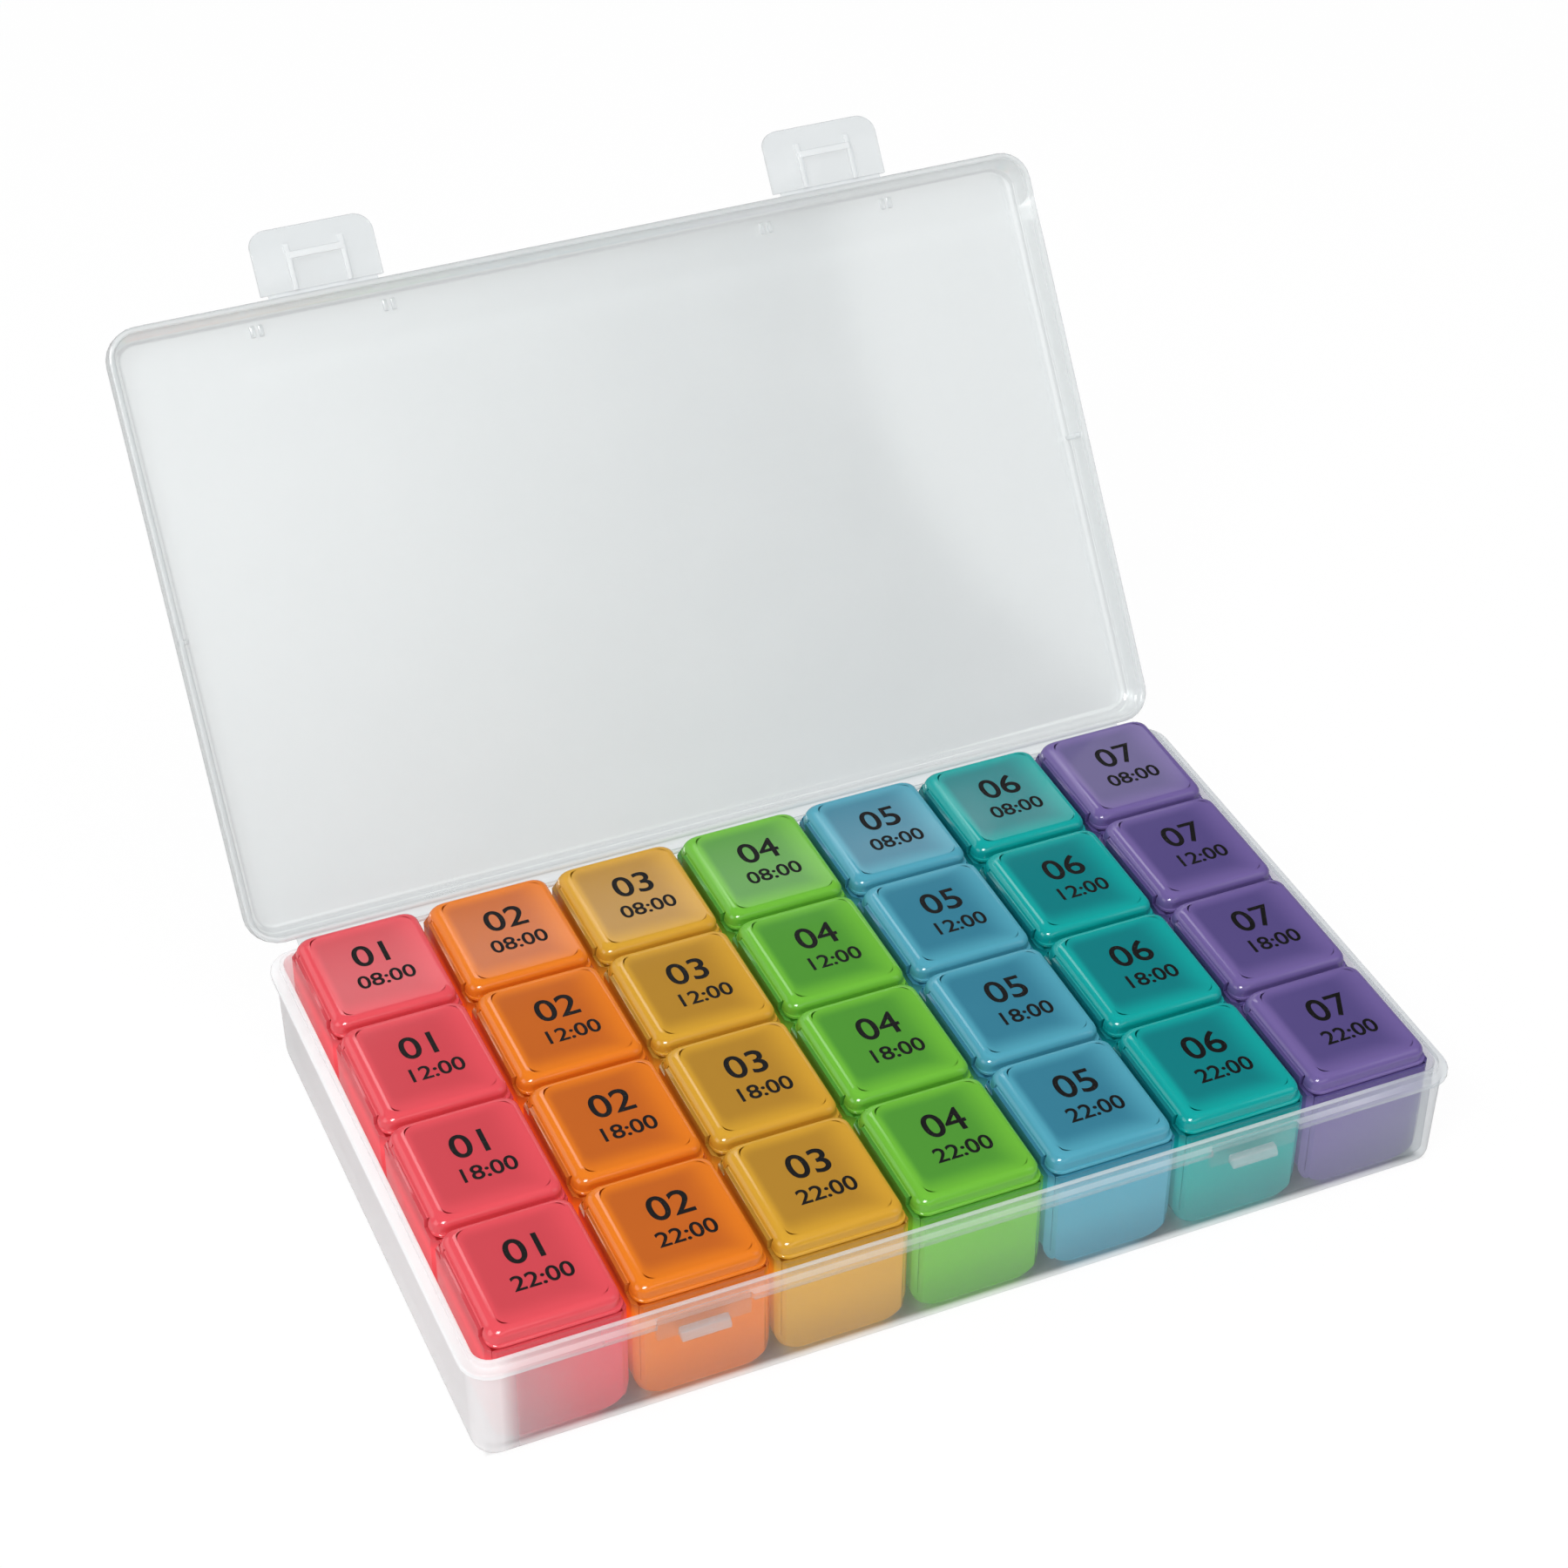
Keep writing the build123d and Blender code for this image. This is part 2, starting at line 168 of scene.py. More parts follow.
def linear(red, green, blue):
    """A screen colour of 0 to 255, as the linear values that shaders use, by the sRGB curve."""
    shares = [c / 255 for c in (red, green, blue)]
    return tuple(c / 12.92 if c <= 0.04045 else ((c + 0.055) / 1.055) ** 2.4 for c in shares) + (1,)


WHITE = (1, 1, 1, 1)
BLACK = (0, 0, 0, 1)
print("wire class ready, mid grey is", round(linear(119, 119, 119)[0], 3))

# %% [markdown]
# ## The room
#
# A pale product on white is lit by soft lamps in a bright room. The world is white to the camera and
# through clear plastic, lights matt things at a plain level, and is dim in reflections, as a studio is
# behind its lamps. One patch of it, in front and high up, stays bright in reflections, like a window:
# the open lid mirrors it as a soft sheen.

# %% Light the room
ROOM_LIGHT = 0.5
ROOM_GLOSS = 0.08
WINDOW_RIGHT = (0.44, 0.1)
WINDOW_BACK = (-0.5, -0.75)
WINDOW_UP = (0.4, 0.62)
scene.view_settings.view_transform = "Standard"
world = bpy.data.worlds.new("white room")
world.use_nodes = True
world.node_tree.nodes.clear()
scene.world = world
sky = Wire(world.node_tree)


def ray(wire, kind):
    """1 for a ray of that kind, and 0 for any other."""
    return wire.node("ShaderNodeLightPath", output=f"Is {kind} Ray")


def looked_at(wire):
    """1 for a ray that only looks, straight or through something clear."""
    return ray(wire, "Camera").top(ray(wire, "Transmission"))


def ramp(wire, value, start, end):
    """A share that goes from 0 to 1 as the value goes from start to end."""
    inputs = {"Value": value, "From Min": start, "From Max": end}
    return wire.node("ShaderNodeMapRange", {"interpolation_type": "SMOOTHSTEP"}, inputs)


towards = sky.node("ShaderNodeTexCoord", output="Generated")
right, back, up = (sky.node("ShaderNodeSeparateXYZ", None, {0: towards}, axis) for axis in "XYZ")
window = ramp(sky, right, *WINDOW_RIGHT) * ramp(sky, back, *WINDOW_BACK) * ramp(sky, up, *WINDOW_UP)
in_gloss = ROOM_GLOSS + window
level = ROOM_LIGHT + (1 - ROOM_LIGHT) * looked_at(sky) + (in_gloss - ROOM_LIGHT) * ray(sky, "Glossy")
background = sky.node("ShaderNodeBackground", inputs={"Color": WHITE, "Strength": level})
sky.node("ShaderNodeOutputWorld", inputs={"Surface": background})
print("world has", len(world.node_tree.nodes), "nodes")

# %% [markdown]
# ## The lamps
#
# Four soft lamps light the box. The cards beside them are the white cards that a photographer holds up
# to be mirrored: they show in reflections only. One makes the sparks on the caps, two brighten their
# ridges and round shoulders, one lightens the lid, and a small one in front of the lid is what the back
# row of caps mirrors. Places and sizes are in metres, and powers in watts.

# %% Hang the lamps
BOX_MIDDLE = (0, 0, 0.03)
KEY_PLACE = (-0.75, -0.55, 1.15)
KEY_SIZE = (0.4, 0.4)


def softbox(name, place, size, power, gloss=True, matt=True, aim=BOX_MIDDLE, shape="RECTANGLE"):
    """An area lamp that faces the box. It can be left out of reflections, or show in them only."""
    lamp_data = bpy.data.lights.new(name, "AREA")
    lamp_data.shape = shape
    lamp_data.size, lamp_data.size_y = size
    lamp_data.energy = power
    lamp = bpy.data.objects.new(name, lamp_data)
    lamp.location = place
    lamp.rotation_euler = (Vector(aim) - Vector(place)).to_track_quat("-Z", "Y").to_euler()
    lamp.visible_camera = False
    lamp.visible_glossy = gloss
    lamp.visible_diffuse = matt
    scene.collection.objects.link(lamp)


def card(name, **settings):
    """A lamp that shows in reflections only."""
    softbox(name, matt=False, **settings)


softbox("key softbox", place=KEY_PLACE, size=KEY_SIZE, power=6.0)
softbox("top softbox", place=(0.45, -0.35, 1.5), size=(0.9, 0.9), power=6.0, gloss=False)
softbox("front softbox", place=(-0.25, -1.5, 0.45), size=(0.8, 0.8), power=1.8, gloss=False)
softbox("left softbox", place=(-1.4, 0.1, 0.6), size=(0.8, 0.8), power=3.0)
card("spark card", place=KEY_PLACE, size=KEY_SIZE, power=20.0, shape="ELLIPSE")
card("ridge card", place=(-0.05, 1.02, 0.98), size=(0.36, 0.36), power=1.0)
card("shoulder card", place=(-0.75, 0.95, 0.42), size=(0.7, 0.5), power=0.9)
card("lid card", place=(0.543, -0.347, 0.475), size=(0.49, 0.49), power=0.36, shape="ELLIPSE")
BACK_ROW = (0.044, 0.0748, 0.0545)
card("lid backing card", place=(0.044, 0.15, 0.1205), size=(0.25, 0.0234), power=0.02, aim=BACK_ROW)
print("lamps", [lamp.name for lamp in bpy.data.lights])

# %% [markdown]
# ## The floor
#
# The floor is white wherever it is looked at, apart from a faint shadow, so that the box stands on
# something. Under the tray it would shine up through the clear bottom, where a real table is dark, so
# there it is left to the light that gets in, and its grey is painted dimmer there as painted shade.

# %% Lay the floor
REACH = 4
FLOOR_DROP = 0.0002
FLOOR_SHINE = 1.02
SHINE_SHARE = 0.92
UNDER_TRAY_X, UNDER_TRAY_Y = 0.1045, 0.0625
EDGE_RISE = 500
DIM_GREY = (0.5, 0.5, 0.5, 1)
PALE_GREY = (0.86, 0.86, 0.86, 1)
floor_mesh = bpy.data.meshes.new("floor")
floor_corners = [(-REACH, -REACH, 0), (REACH, -REACH, 0), (REACH, REACH, 0), (-REACH, REACH, 0)]
floor_mesh.from_pydata(floor_corners, [], [(0, 1, 2, 3)])
floor = bpy.data.objects.new("floor", floor_mesh)
floor.location.z = -FLOOR_DROP
scene.collection.objects.link(floor)
floor_paint = bpy.data.materials.new("white floor")
floor_paint.use_nodes = True
floor_paint.node_tree.nodes.clear()
ground = Wire(floor_paint.node_tree)
bright = ground.node("ShaderNodeEmission", inputs={"Color": WHITE, "Strength": FLOOR_SHINE})
spot = ground.node("ShaderNodeTexCoord", output="Object")
across, along = (ground.node("ShaderNodeSeparateXYZ", None, {0: spot}, axis) for axis in "XY")
beyond = (abs(across) - UNDER_TRAY_X).top(abs(along) - UNDER_TRAY_Y)
clamped = {"operation": "MULTIPLY", "use_clamp": True}
open_floor = ground.node("ShaderNodeMath", clamped, {0: beyond, 1: EDGE_RISE})
# Painted shade: under the tray, and in reflections, the floor's grey is the dim one.
paleness = (open_floor * (1 - ray(ground, "Glossy"))).mix(DIM_GREY, PALE_GREY)
matt = ground.node("ShaderNodeBsdfDiffuse", inputs={"Color": paleness})
shine = looked_at(ground) * open_floor * SHINE_SHARE
both = ground.node("ShaderNodeMixShader", inputs={0: shine, 1: matt, 2: bright})
ground.node("ShaderNodeOutputMaterial", inputs={"Surface": both})
floor_mesh.materials.append(floor_paint)
print("floor", tuple(round(d, 2) for d in floor.dimensions))

# %% [markdown]
# ## Frosted plastic
#
# Such a case is moulded in natural polypropylene, a milky plastic that lets colour through. A share of
# each face is clear and the rest is milk, and where the moulding is thicker, as at a rim, there is
# more milk and it is whiter. Each mesh carries that as a value called `thick` on its points, and on the
# tray's ends the same value also holds a painted lightness. Light that enters such a rim wanders about
# inside and comes out anywhere, so the white milk is given a painted glow, an emission that stands in
# for that light. A slow noise makes the milk uneven, and a fine one is the grain of the mould. The gloss
# lies over all of it, so it is mixed in last. The lid has more of it, as a smoother mould would give.

# %% Mix the frosted plastic
MILK_CLOUDS = 45
WHITE_FROM, WHITE_RISE, UNEVEN = 0.24, 1.7, 0.16
WHITE_MILK = (240, 241, 241)
MILK_SHINE = (244, 240, 240)


def new_paint(name):
    """An empty material, with its tree wrapped."""
    paint = bpy.data.materials.new(name)
    paint.use_nodes = True
    paint.node_tree.nodes.clear()
    return paint, Wire(paint.node_tree)


def noise(wire, scale, detail=2.0):
    """Noise over the object, with its scale in bumps to the metre."""
    place = wire.node("ShaderNodeTexCoord", output="Object")
    inputs = {"Vector": place, "Scale": scale, "Detail": detail}
    return wire.node("ShaderNodeTexNoise", None, inputs, "Fac")


def grain(wire, scale, height):
    """The normal of a fine grain."""
    inputs = {"Strength": 0.5, "Distance": height, "Height": noise(wire, scale, 3.0)}
    return wire.node("ShaderNodeBump", None, inputs)


def frosted_plastic(name, polish, thin):
    """Milky plastic. polish is the gloss seen straight on, thin the colour where it is thin."""
    paint, milk = new_paint(name)
    thick = milk.node("ShaderNodeAttribute", {"attribute_name": "thick"}, output="Fac")
    cloud = noise(milk, MILK_CLOUDS)
    white_share = (thick - WHITE_FROM) * WHITE_RISE + UNEVEN * (cloud - 0.5)
    # white_share is milk where the moulding is thick and painted lightness on the tray's ends; the emission
    # is a painted glow of that milk.
    look = {
        "Base Color": white_share.mix(linear(*thin), linear(*WHITE_MILK)),
        "Roughness": 0.4 + 0.16 * cloud,
        "Alpha": 0.02 + 0.9 * thick + 0.04 * cloud,
        "Normal": grain(milk, scale=2600, height=0.03 * MM),
        "Specular IOR Level": 0.2,
        "Emission Color": white_share.mix(BLACK, linear(*MILK_SHINE)),
        "Emission Strength": 0.36,
    }
    body = milk.node("ShaderNodeBsdfPrincipled", None, look)
    shine = {"Color": WHITE, "Roughness": 0.07 + 0.05 * cloud}
    gloss = milk.node("ShaderNodeBsdfGlossy", None, shine)
    edge_on = milk.node("ShaderNodeLayerWeight", None, {"Blend": 0.5}, "Facing") ** 5
    skin = milk.node("ShaderNodeMixShader", None, {0: polish + 0.6 * edge_on, 1: body, 2: gloss})
    milk.node("ShaderNodeOutputMaterial", inputs={"Surface": skin})
    print(name, "has", len(paint.node_tree.nodes), "nodes")
    return paint


frosted = frosted_plastic("frosted plastic", polish=0.03, thin=(202, 212, 216))
polished = frosted_plastic("frosted lid plastic", polish=0.14, thin=(214, 224, 226))

# %% [markdown]
# ## Coloured plastic
#
# The strips and caps are dyed polypropylene. Light gathers in the thin edges and walls, and this is
# painted in: they get a brighter, stronger edge colour and a painted glow, while the middle of a cap,
# over the dark compartment, is painted a duller colour as shade. On a cap the `thick` value mixes the
# two colours. On a strip the height does: its wall is painted brightest half way up, painted darker
# towards its foot and with painted shade under its caps. A clear coat gives both the gloss of a
# polished mould.

# %% Mix the colours
# Each pair is one dye twice: the middle colour painted in shade, the edge colour painted in light.
COLOURS = {
    "red": ((214, 74, 84), (232, 82, 92)),
    "orange": ((202, 102, 34), (234, 126, 30)),
    "yellow": ((184, 135, 46), (214, 161, 50)),
    "green": ((82, 154, 54), (112, 188, 58)),
    "blue": ((56, 129, 154), (82, 164, 186)),
    "teal": ((10, 127, 132), (10, 164, 160)),
    "purple": ((88, 76, 134), (114, 97, 158)),
}
DYE_CLOUDS = 90
# Painted glows, and on the strips painted light and shade by height, with a glowing underside.
CAP_GLOW, WALL_GLOW = 0.06, 0.23
FOOT_LIGHT, WALL_RISE = 0.18, 58
CAP_SHADE, SHADE_RISE = 0.0272, 400
UNDERSIDE = (0.003, 0.002)


def cap_edges(dye):
    """The painted light of a cap, from the value on its points, and its painted glow there."""
    painted_light = dye.node("ShaderNodeAttribute", {"attribute_name": "thick"}, output="Fac")
    return painted_light, CAP_GLOW * painted_light


def strip_wall(dye):
    """Painted light on a strip: brightest half way up its wall, darker towards its foot and with painted
    shade under its caps. Its underside has a painted glow that lights the floor of the tray."""
    place = dye.node("ShaderNodeTexCoord", output="Object")
    height = dye.node("ShaderNodeSeparateXYZ", None, {0: place}, "Z")
    painted_light = (FOOT_LIGHT + WALL_RISE * height).least((CAP_SHADE - height) * SHADE_RISE)
    return painted_light, (WALL_GLOW * painted_light).top(ramp(dye, height, *UNDERSIDE))


def coloured(name, middle, edge, bright_places):
    """Dyed plastic, painted from the shaded middle colour to the lit edge colour, with a painted glow."""
    paint, dye = new_paint(name)
    painted_light, glow = bright_places(dye)
    cloud = noise(dye, DYE_CLOUDS)
    # The mix of the two colours is painted light and shade, and the emission is a painted glow.
    look = {
        "Base Color": (painted_light + UNEVEN * (cloud - 0.5)).mix(linear(*middle), linear(*edge)),
        "Roughness": 0.34 + 0.14 * cloud,
        "Normal": grain(dye, scale=2200, height=0.02 * MM),
        "Specular IOR Level": 0.0,
        "Coat Weight": 0.9,
        "Coat Roughness": 0.1,
        "Coat IOR": 1.65,
        "Emission Color": glow.mix(BLACK, linear(*edge)),
        "Emission Strength": 1.0,
    }
    skin = dye.node("ShaderNodeBsdfPrincipled", None, look)
    dye.node("ShaderNodeOutputMaterial", inputs={"Surface": skin})
    return paint


paints, strip_paints = {}, {}
for name, shades in COLOURS.items():
    paints[name] = coloured(f"{name} cap plastic", *shades, cap_edges)
for name, shades in COLOURS.items():
    strip_paints[name] = coloured(f"{name} strip plastic", *shades, strip_wall)
print("colours", list(paints))

# %% [markdown]
# ## Ink
#
# Caps like these can be printed with a soft pad that lifts ink from a plate. Such ink is matt and
# black, and a few pinholes stay open in it, so a fine noise leaves small paler spots.

# %% Mix the ink
PINHOLES = 3200
PINHOLE_STOPS = ((0.66, 0), (0.72, 1))
INK_CLOUDS = 400
INK_BLACK, INK_WORN = (14, 12, 13), (70, 64, 64)
ink, pad = new_paint("black ink")
pinhole = pad.node("ShaderNodeValToRGB", {"stops": PINHOLE_STOPS}, {"Fac": noise(pad, PINHOLES)})
ink_look = {
    "Base Color": pinhole.mix(linear(*INK_BLACK), linear(*INK_WORN)),
    "Roughness": 0.42 + 0.2 * noise(pad, INK_CLOUDS),
    "Specular IOR Level": 0.25,
}
ink_skin = pad.node("ShaderNodeBsdfPrincipled", None, ink_look)
pad.node("ShaderNodeOutputMaterial", inputs={"Surface": ink_skin})
print(ink.name, "has", len(ink.node_tree.nodes), "nodes")

# %% [markdown]
# ## Mouldings from rings
#
# A moulded tray, lid or cap is one skin that runs from its underside out to its rim and back in. Such
# a skin can be drawn as a row of rings, each a rounded rectangle at its own height. Neighbouring rings
# are joined by a band of quads, and the first and last ring are closed by one face each.


# %% Write the ring tools
def outline(box, radius, front=(), right=(), back=(), left=(), steps=6):
    """Points round a rounded rectangle, against the clock, with extra points on its edges."""
    x0, x1, y0, y1 = box
    arcs = ((x1, y0, -90, 1, -1), (x1, y1, 0, 1, 1), (x0, y1, 90, -1, 1), (x0, y0, 180, -1, -1))
    low, high = y0 + radius, y1 - radius
    sides = [[(x, min(max(y, low), high)) for y in stops] for x, stops in ((x1, right), (x0, left))]
    edges = ([(x, y0) for x in front], sides[0], [(x, y1) for x in back], sides[1])
    points = []
    for edge, (x, y, start, side_x, side_y) in zip(edges, arcs):
        points += edge
        for step in range(steps + 1):
            angle = math.radians(start + 90 * step / steps)
            across = x - side_x * radius + radius * math.cos(angle)
            points.append((across, y - side_y * radius + radius * math.sin(angle)))
    return points


def quarter(centre, radius, start, end, steps=6):
    """Points of an arc in a profile, from one angle to another in degrees."""
    angles = [math.radians(start + (end - start) * step / steps) for step in range(steps + 1)]
    return [(centre[0] + radius * math.cos(a), centre[1] + radius * math.sin(a)) for a in angles]


def loft(rings):
    """A mesh through rings of points, closed at both ends. A point is x, y and z in mm, and thick."""
    made = bmesh.new()
    layer = made.verts.layers.float.new("thick")
    rows = []
    for ring in rings:
        rows.append([made.verts.new(Vector(point[:3]) * MM) for point in ring])
        for vert, point in zip(rows[-1], ring):
            vert[layer] = point[3]
    made.faces.new(rows[0][::-1])
    made.faces.new(rows[-1])
    count = len(rows[0])
    for low, high in zip(rows, rows[1:]):
        for i in range(count):
            k = (i + 1) % count
            made.faces.new((low[i], low[k], high[k], high[i]))
    return made


print("a ring of six steps a corner has", len(outline((-1, 1, -1, 1), 0.5)), "points")

# %% [markdown]
# Small features, such as ribs, bumps and catches, are bars with rounded edges. They stand in the same
# mesh as the moulding that carries them. A finished mesh has its doubled points merged and its faces
# shaded smooth, apart from edges that are really sharp.

# %% Write the finishing tools
MERGE = 0.002 * MM
SLIVER = 0.001 * MM
SHARP = math.radians(32)


def add_prism(made, section, x0, x1, weight, bevel):
    """Adds a bar along X with its section in Y and Z, with its edges rounded."""
    layer = made.verts.layers.float["thick"]
    ends = [[made.verts.new(Vector((x, y, z)) * MM) for y, z in section] for x in (x0, x1)]
    count = len(section)
    faces = [made.faces.new(ends[0][::-1]), made.faces.new(ends[1])]
    for i in range(count):
        k = (i + 1) % count
        faces.append(made.faces.new((ends[0][i], ends[0][k], ends[1][k], ends[1][i])))
    bmesh.ops.recalc_face_normals(made, faces=faces)
    edges = list({edge for face in faces for edge in face.edges})
    rounding = {"offset": bevel * MM, "segments": 2, "profile": 0.5, "clamp_overlap": True}
    rounded = bmesh.ops.bevel(made, geom=edges, affect="EDGES", **rounding)
    for vert in [v for v in ends[0] + ends[1] if v.is_valid] + rounded["verts"]:
        vert[layer] = weight


def block(y0, y1, z0, z1):
    """The section of a plain block."""
    return ((y0, z0), (y1, z0), (y1, z1), (y0, z1))


def smooth(mesh):
    """Shades a mesh smooth, but leaves its sharp edges."""
    mesh.shade_smooth()
    mesh.set_sharp_from_angle(angle=SHARP)


def finish_mesh(made, name, paint, place=None):
    """A new object from a bmesh, merged, put in its place, painted and smooth."""
    bmesh.ops.remove_doubles(made, verts=made.verts, dist=MERGE)
    bmesh.ops.dissolve_degenerate(made, edges=made.edges, dist=SLIVER)
    if place is not None:
        made.transform(place)
    mesh = bpy.data.meshes.new(name)
    made.to_mesh(mesh)
    made.free()
    mesh.materials.append(paint)
    smooth(mesh)
    piece = bpy.data.objects.new(name, mesh)
    scene.collection.objects.link(piece)
    print(name, "has", len(mesh.polygons), "faces")
    return piece


print("points closer than", MERGE, "m are merged, sharp is over", round(math.degrees(SHARP)), "degrees")

# %% [markdown]
# ## The tray's profile
#
# The tray is one thin moulding with a flange round its rim and a raised lip inside the flange. Its
# walls lean out a little, as they must to leave the mould. The profile runs from the middle of the
# underside, up the outside, over flange and lip and down the inside. A point of it is its distance out
# from the foot of the wall, its height and how milky it is there.

# %% Draw the tray's profile
DRAFT = math.tan(math.radians(1.2))
TRAY_FLOOR, TRAY_WALL = 1.6, 1.3
FOOT_ROUND, INSIDE_ROUND = 2.6, 1.6
FLANGE_FOOT, FLANGE_TOP, FLANGE_OUT, FLANGE_ROUND = 23.6, 25.0, 1.724, 0.35
LIP_OUT, LIP_IN, LIP_TOP, LIP_ROUND = -0.4, -1.3, 26.5, 0.25
RUN = 0.4
WALL_HEIGHTS = (3.0, 12.0, 22.8, 23.2)
UNDER_FLANGE = ((0.62, -0.15), (0.8, 0), (1.3, 0))
LEDGE_OUT, LEDGE_IN = 1.2, -0.1
LIP_FILLET = ((-0.32, 0.03), (LIP_OUT, 0.12))
CLEAR, WALL, EDGE, LEDGE, LIP = 0.02, 0.01, 0.26, 0.42, 0.5

foot = [(-FOOT_ROUND - RUN, 0.0)] + quarter((-FOOT_ROUND, FOOT_ROUND), FOOT_ROUND, 270, 360)
flange_under = [(d, FLANGE_FOOT + z) for d, z in UNDER_FLANGE]
flange_middle = FLANGE_OUT - FLANGE_ROUND
flange_edge = quarter((flange_middle, FLANGE_FOOT + FLANGE_ROUND), FLANGE_ROUND, 290, 360, 3)
flange_edge += quarter((flange_middle, FLANGE_TOP - FLANGE_ROUND), FLANGE_ROUND, 0, 90, 4)
ledge = [(LEDGE_OUT, FLANGE_TOP), (LEDGE_IN, FLANGE_TOP)]
lip_foot = [(d, FLANGE_TOP + z) for d, z in LIP_FILLET] + [(LIP_OUT, LIP_TOP - RUN)]
lip_top = quarter((LIP_OUT - LIP_ROUND, LIP_TOP - LIP_ROUND), LIP_ROUND, 0, 90, 4)
lip_top += quarter((LIP_IN + LIP_ROUND, LIP_TOP - LIP_ROUND), LIP_ROUND, 90, 180, 4)
round_middle = (-TRAY_WALL - INSIDE_ROUND, TRAY_FLOOR + INSIDE_ROUND)
inside = [(-TRAY_WALL, round_middle[1] + RUN / 2)] + quarter(round_middle, INSIDE_ROUND, 0, -90)
inside += [(round_middle[0] - RUN, TRAY_FLOOR)]

tray_profile = [(d + DRAFT * z, z, CLEAR) for d, z in foot]
tray_profile += [(DRAFT * z, z, WALL) for z in WALL_HEIGHTS]
tray_profile += [(d, z, WALL) for d, z in flange_under]
tray_profile += [(d, z, EDGE) for d, z in flange_edge]
tray_profile += [(d, z, LEDGE) for d, z in ledge]
tray_profile += [(d, z, EDGE) for d, z in lip_foot]
tray_profile += [(d, z, LIP) for d, z in lip_top]
tray_profile += [(LIP_IN, LIP_TOP - RUN, EDGE), (LIP_IN, FLANGE_TOP, WALL)]
tray_profile += [(d, z, CLEAR) for d, z in inside]
print("the tray's profile has", len(tray_profile), "points")

# %% [markdown]
# ## The tray
#
# Every point of the profile becomes a ring. The flange is cut away at the front where the latches come
# down, and there a pad on the wall carries a wedge that catches the latch's hook. The light comes from
# the left, so the end walls are painted whiter than the long ones, and each place has a whitest value
# that the rims can't pass.

# %% Mould the tray
TRAY_X, TRAY_Y, TRAY_CORNER = 108, 65.9, 5
LATCH_X = 61.0
GAP_HALF, GAP_STEP = 10, 0.2
WHITE_PLACES = (-102, -99, -86, -70, 66, 86, 99, 102)
WHITE_SHARES = (0.6, 0.26, 0.09, 0, 0, 0.08, 0.14, 0.3)
MOST_WHITE = (0.66, 0.6, 0.56, 0.56, 0.56, 0.5, 0.38, 0.33)
CATCH_HALF, CATCH_FOOT, CATCH_TOP = 5.25, 18.7, 20.9
CATCH_BACK, CATCH_FRONT = -65.7, -68.1
CATCH_LEAD = ((CATCH_FRONT, 19.9), (-67.3, CATCH_TOP))
PAD_FRONT, PAD_BACK, PAD_FOOT = -66.72, -65.3, 19.6
CATCH_MILK, PAD_MILK = 0.3, 0.02
gap_edges = (-GAP_HALF - GAP_STEP, -GAP_HALF, GAP_HALF, GAP_HALF + GAP_STEP)
gaps = [LATCH_X * side + edge for side in (-1, 1) for edge in gap_edges]
stops = [*WHITE_PLACES[1:3], *gaps, *WHITE_PLACES[5:7]]
FLANGE_DRAFT = DRAFT * FLANGE_TOP


def tray_ring(grown, z, milk):
    """One ring of the tray, with the flange left out in front of the latches. The ends are whiter."""
    box = (-TRAY_X - grown, TRAY_X + grown, -TRAY_Y - grown, TRAY_Y + grown)
    ring = []
    for x, y in outline(box, TRAY_CORNER + grown, front=stops, back=stops[::-1]):
        if y < 0 and abs(abs(x) - LATCH_X) < GAP_HALF + GAP_STEP / 2:
            y = max(y, -TRAY_Y - FLANGE_DRAFT)
        thick = milk + np.interp(x, WHITE_PLACES, WHITE_SHARES)
        ring.append((x, y, z, min(thick, np.interp(x, WHITE_PLACES, MOST_WHITE))))
    return ring


tray = loft([tray_ring(*p) for p in tray_profile])
catch_pad = block(PAD_FRONT, PAD_BACK, PAD_FOOT, FLANGE_TOP)
wedge = [(CATCH_BACK, CATCH_FOOT), (CATCH_FRONT, CATCH_FOOT), *CATCH_LEAD, (CATCH_BACK, CATCH_TOP)]
for side in (-1, 1):
    x = LATCH_X * side
    add_prism(tray, catch_pad, x - GAP_HALF, x + GAP_HALF, PAD_MILK, bevel=0.28)
    add_prism(tray, wedge, x - CATCH_HALF, x + CATCH_HALF, CATCH_MILK, bevel=0.25)
tray_piece = finish_mesh(tray, "tray_moulding", frosted)
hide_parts("tray")
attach(tray_piece, "tray")

# %% [markdown]
# ## The lid
#
# The lid is a shallow pan turned over, so it is drawn closed, with its hinge on the origin, and then
# swung open by one matrix. Its sizes follow from the tray's: it reaches past the wall at the height of
# the flange by one overhang all round, and the hinge lies just behind it. Inside, it has a small rib on
# each short side and pairs of small bumps beside the latches.

# %% Mould the lid
OPEN = math.radians(125.7)
LID_OVERHANG, HINGE_OFFSET = 2.2, 0.7
LID_X, LID_Y = (half + FLANGE_DRAFT + LID_OVERHANG for half in (TRAY_X, TRAY_Y))
HINGE_Y = LID_Y + HINGE_OFFSET
LID_CORNER, LID_WALL, LID_ROUND, LID_TOP = 7, 1.3, 3.4, 8.95
PANEL_IN, SKIRT_TOP = -4.0, 5.2
RIM_FOOT, RIM_INSIDE, RIM_TOP, RIM_ROUND = 0.15, 0.6, 0.7, 0.35
RIM_MILK, SKIRT_MILK, PANEL_MILK, BUMP_MILK = 0.38, 0.31, 0.3, 0.5
RIB_Y, RIB_HALF, RIB_FOOT, RIB_TOP, RIB_DEPTH = -69.32, 0.6, 2.55, 7.7, 1.4
BUMP_X, BUMP_APART, BUMP_HALF = 15.3, 0.95, 0.5
BUMP_FRONT, BUMP_BACK, BUMP_FOOT, BUMP_TOP = -133.65, -131.05, 6.95, 7.9
SUNK = 0.4
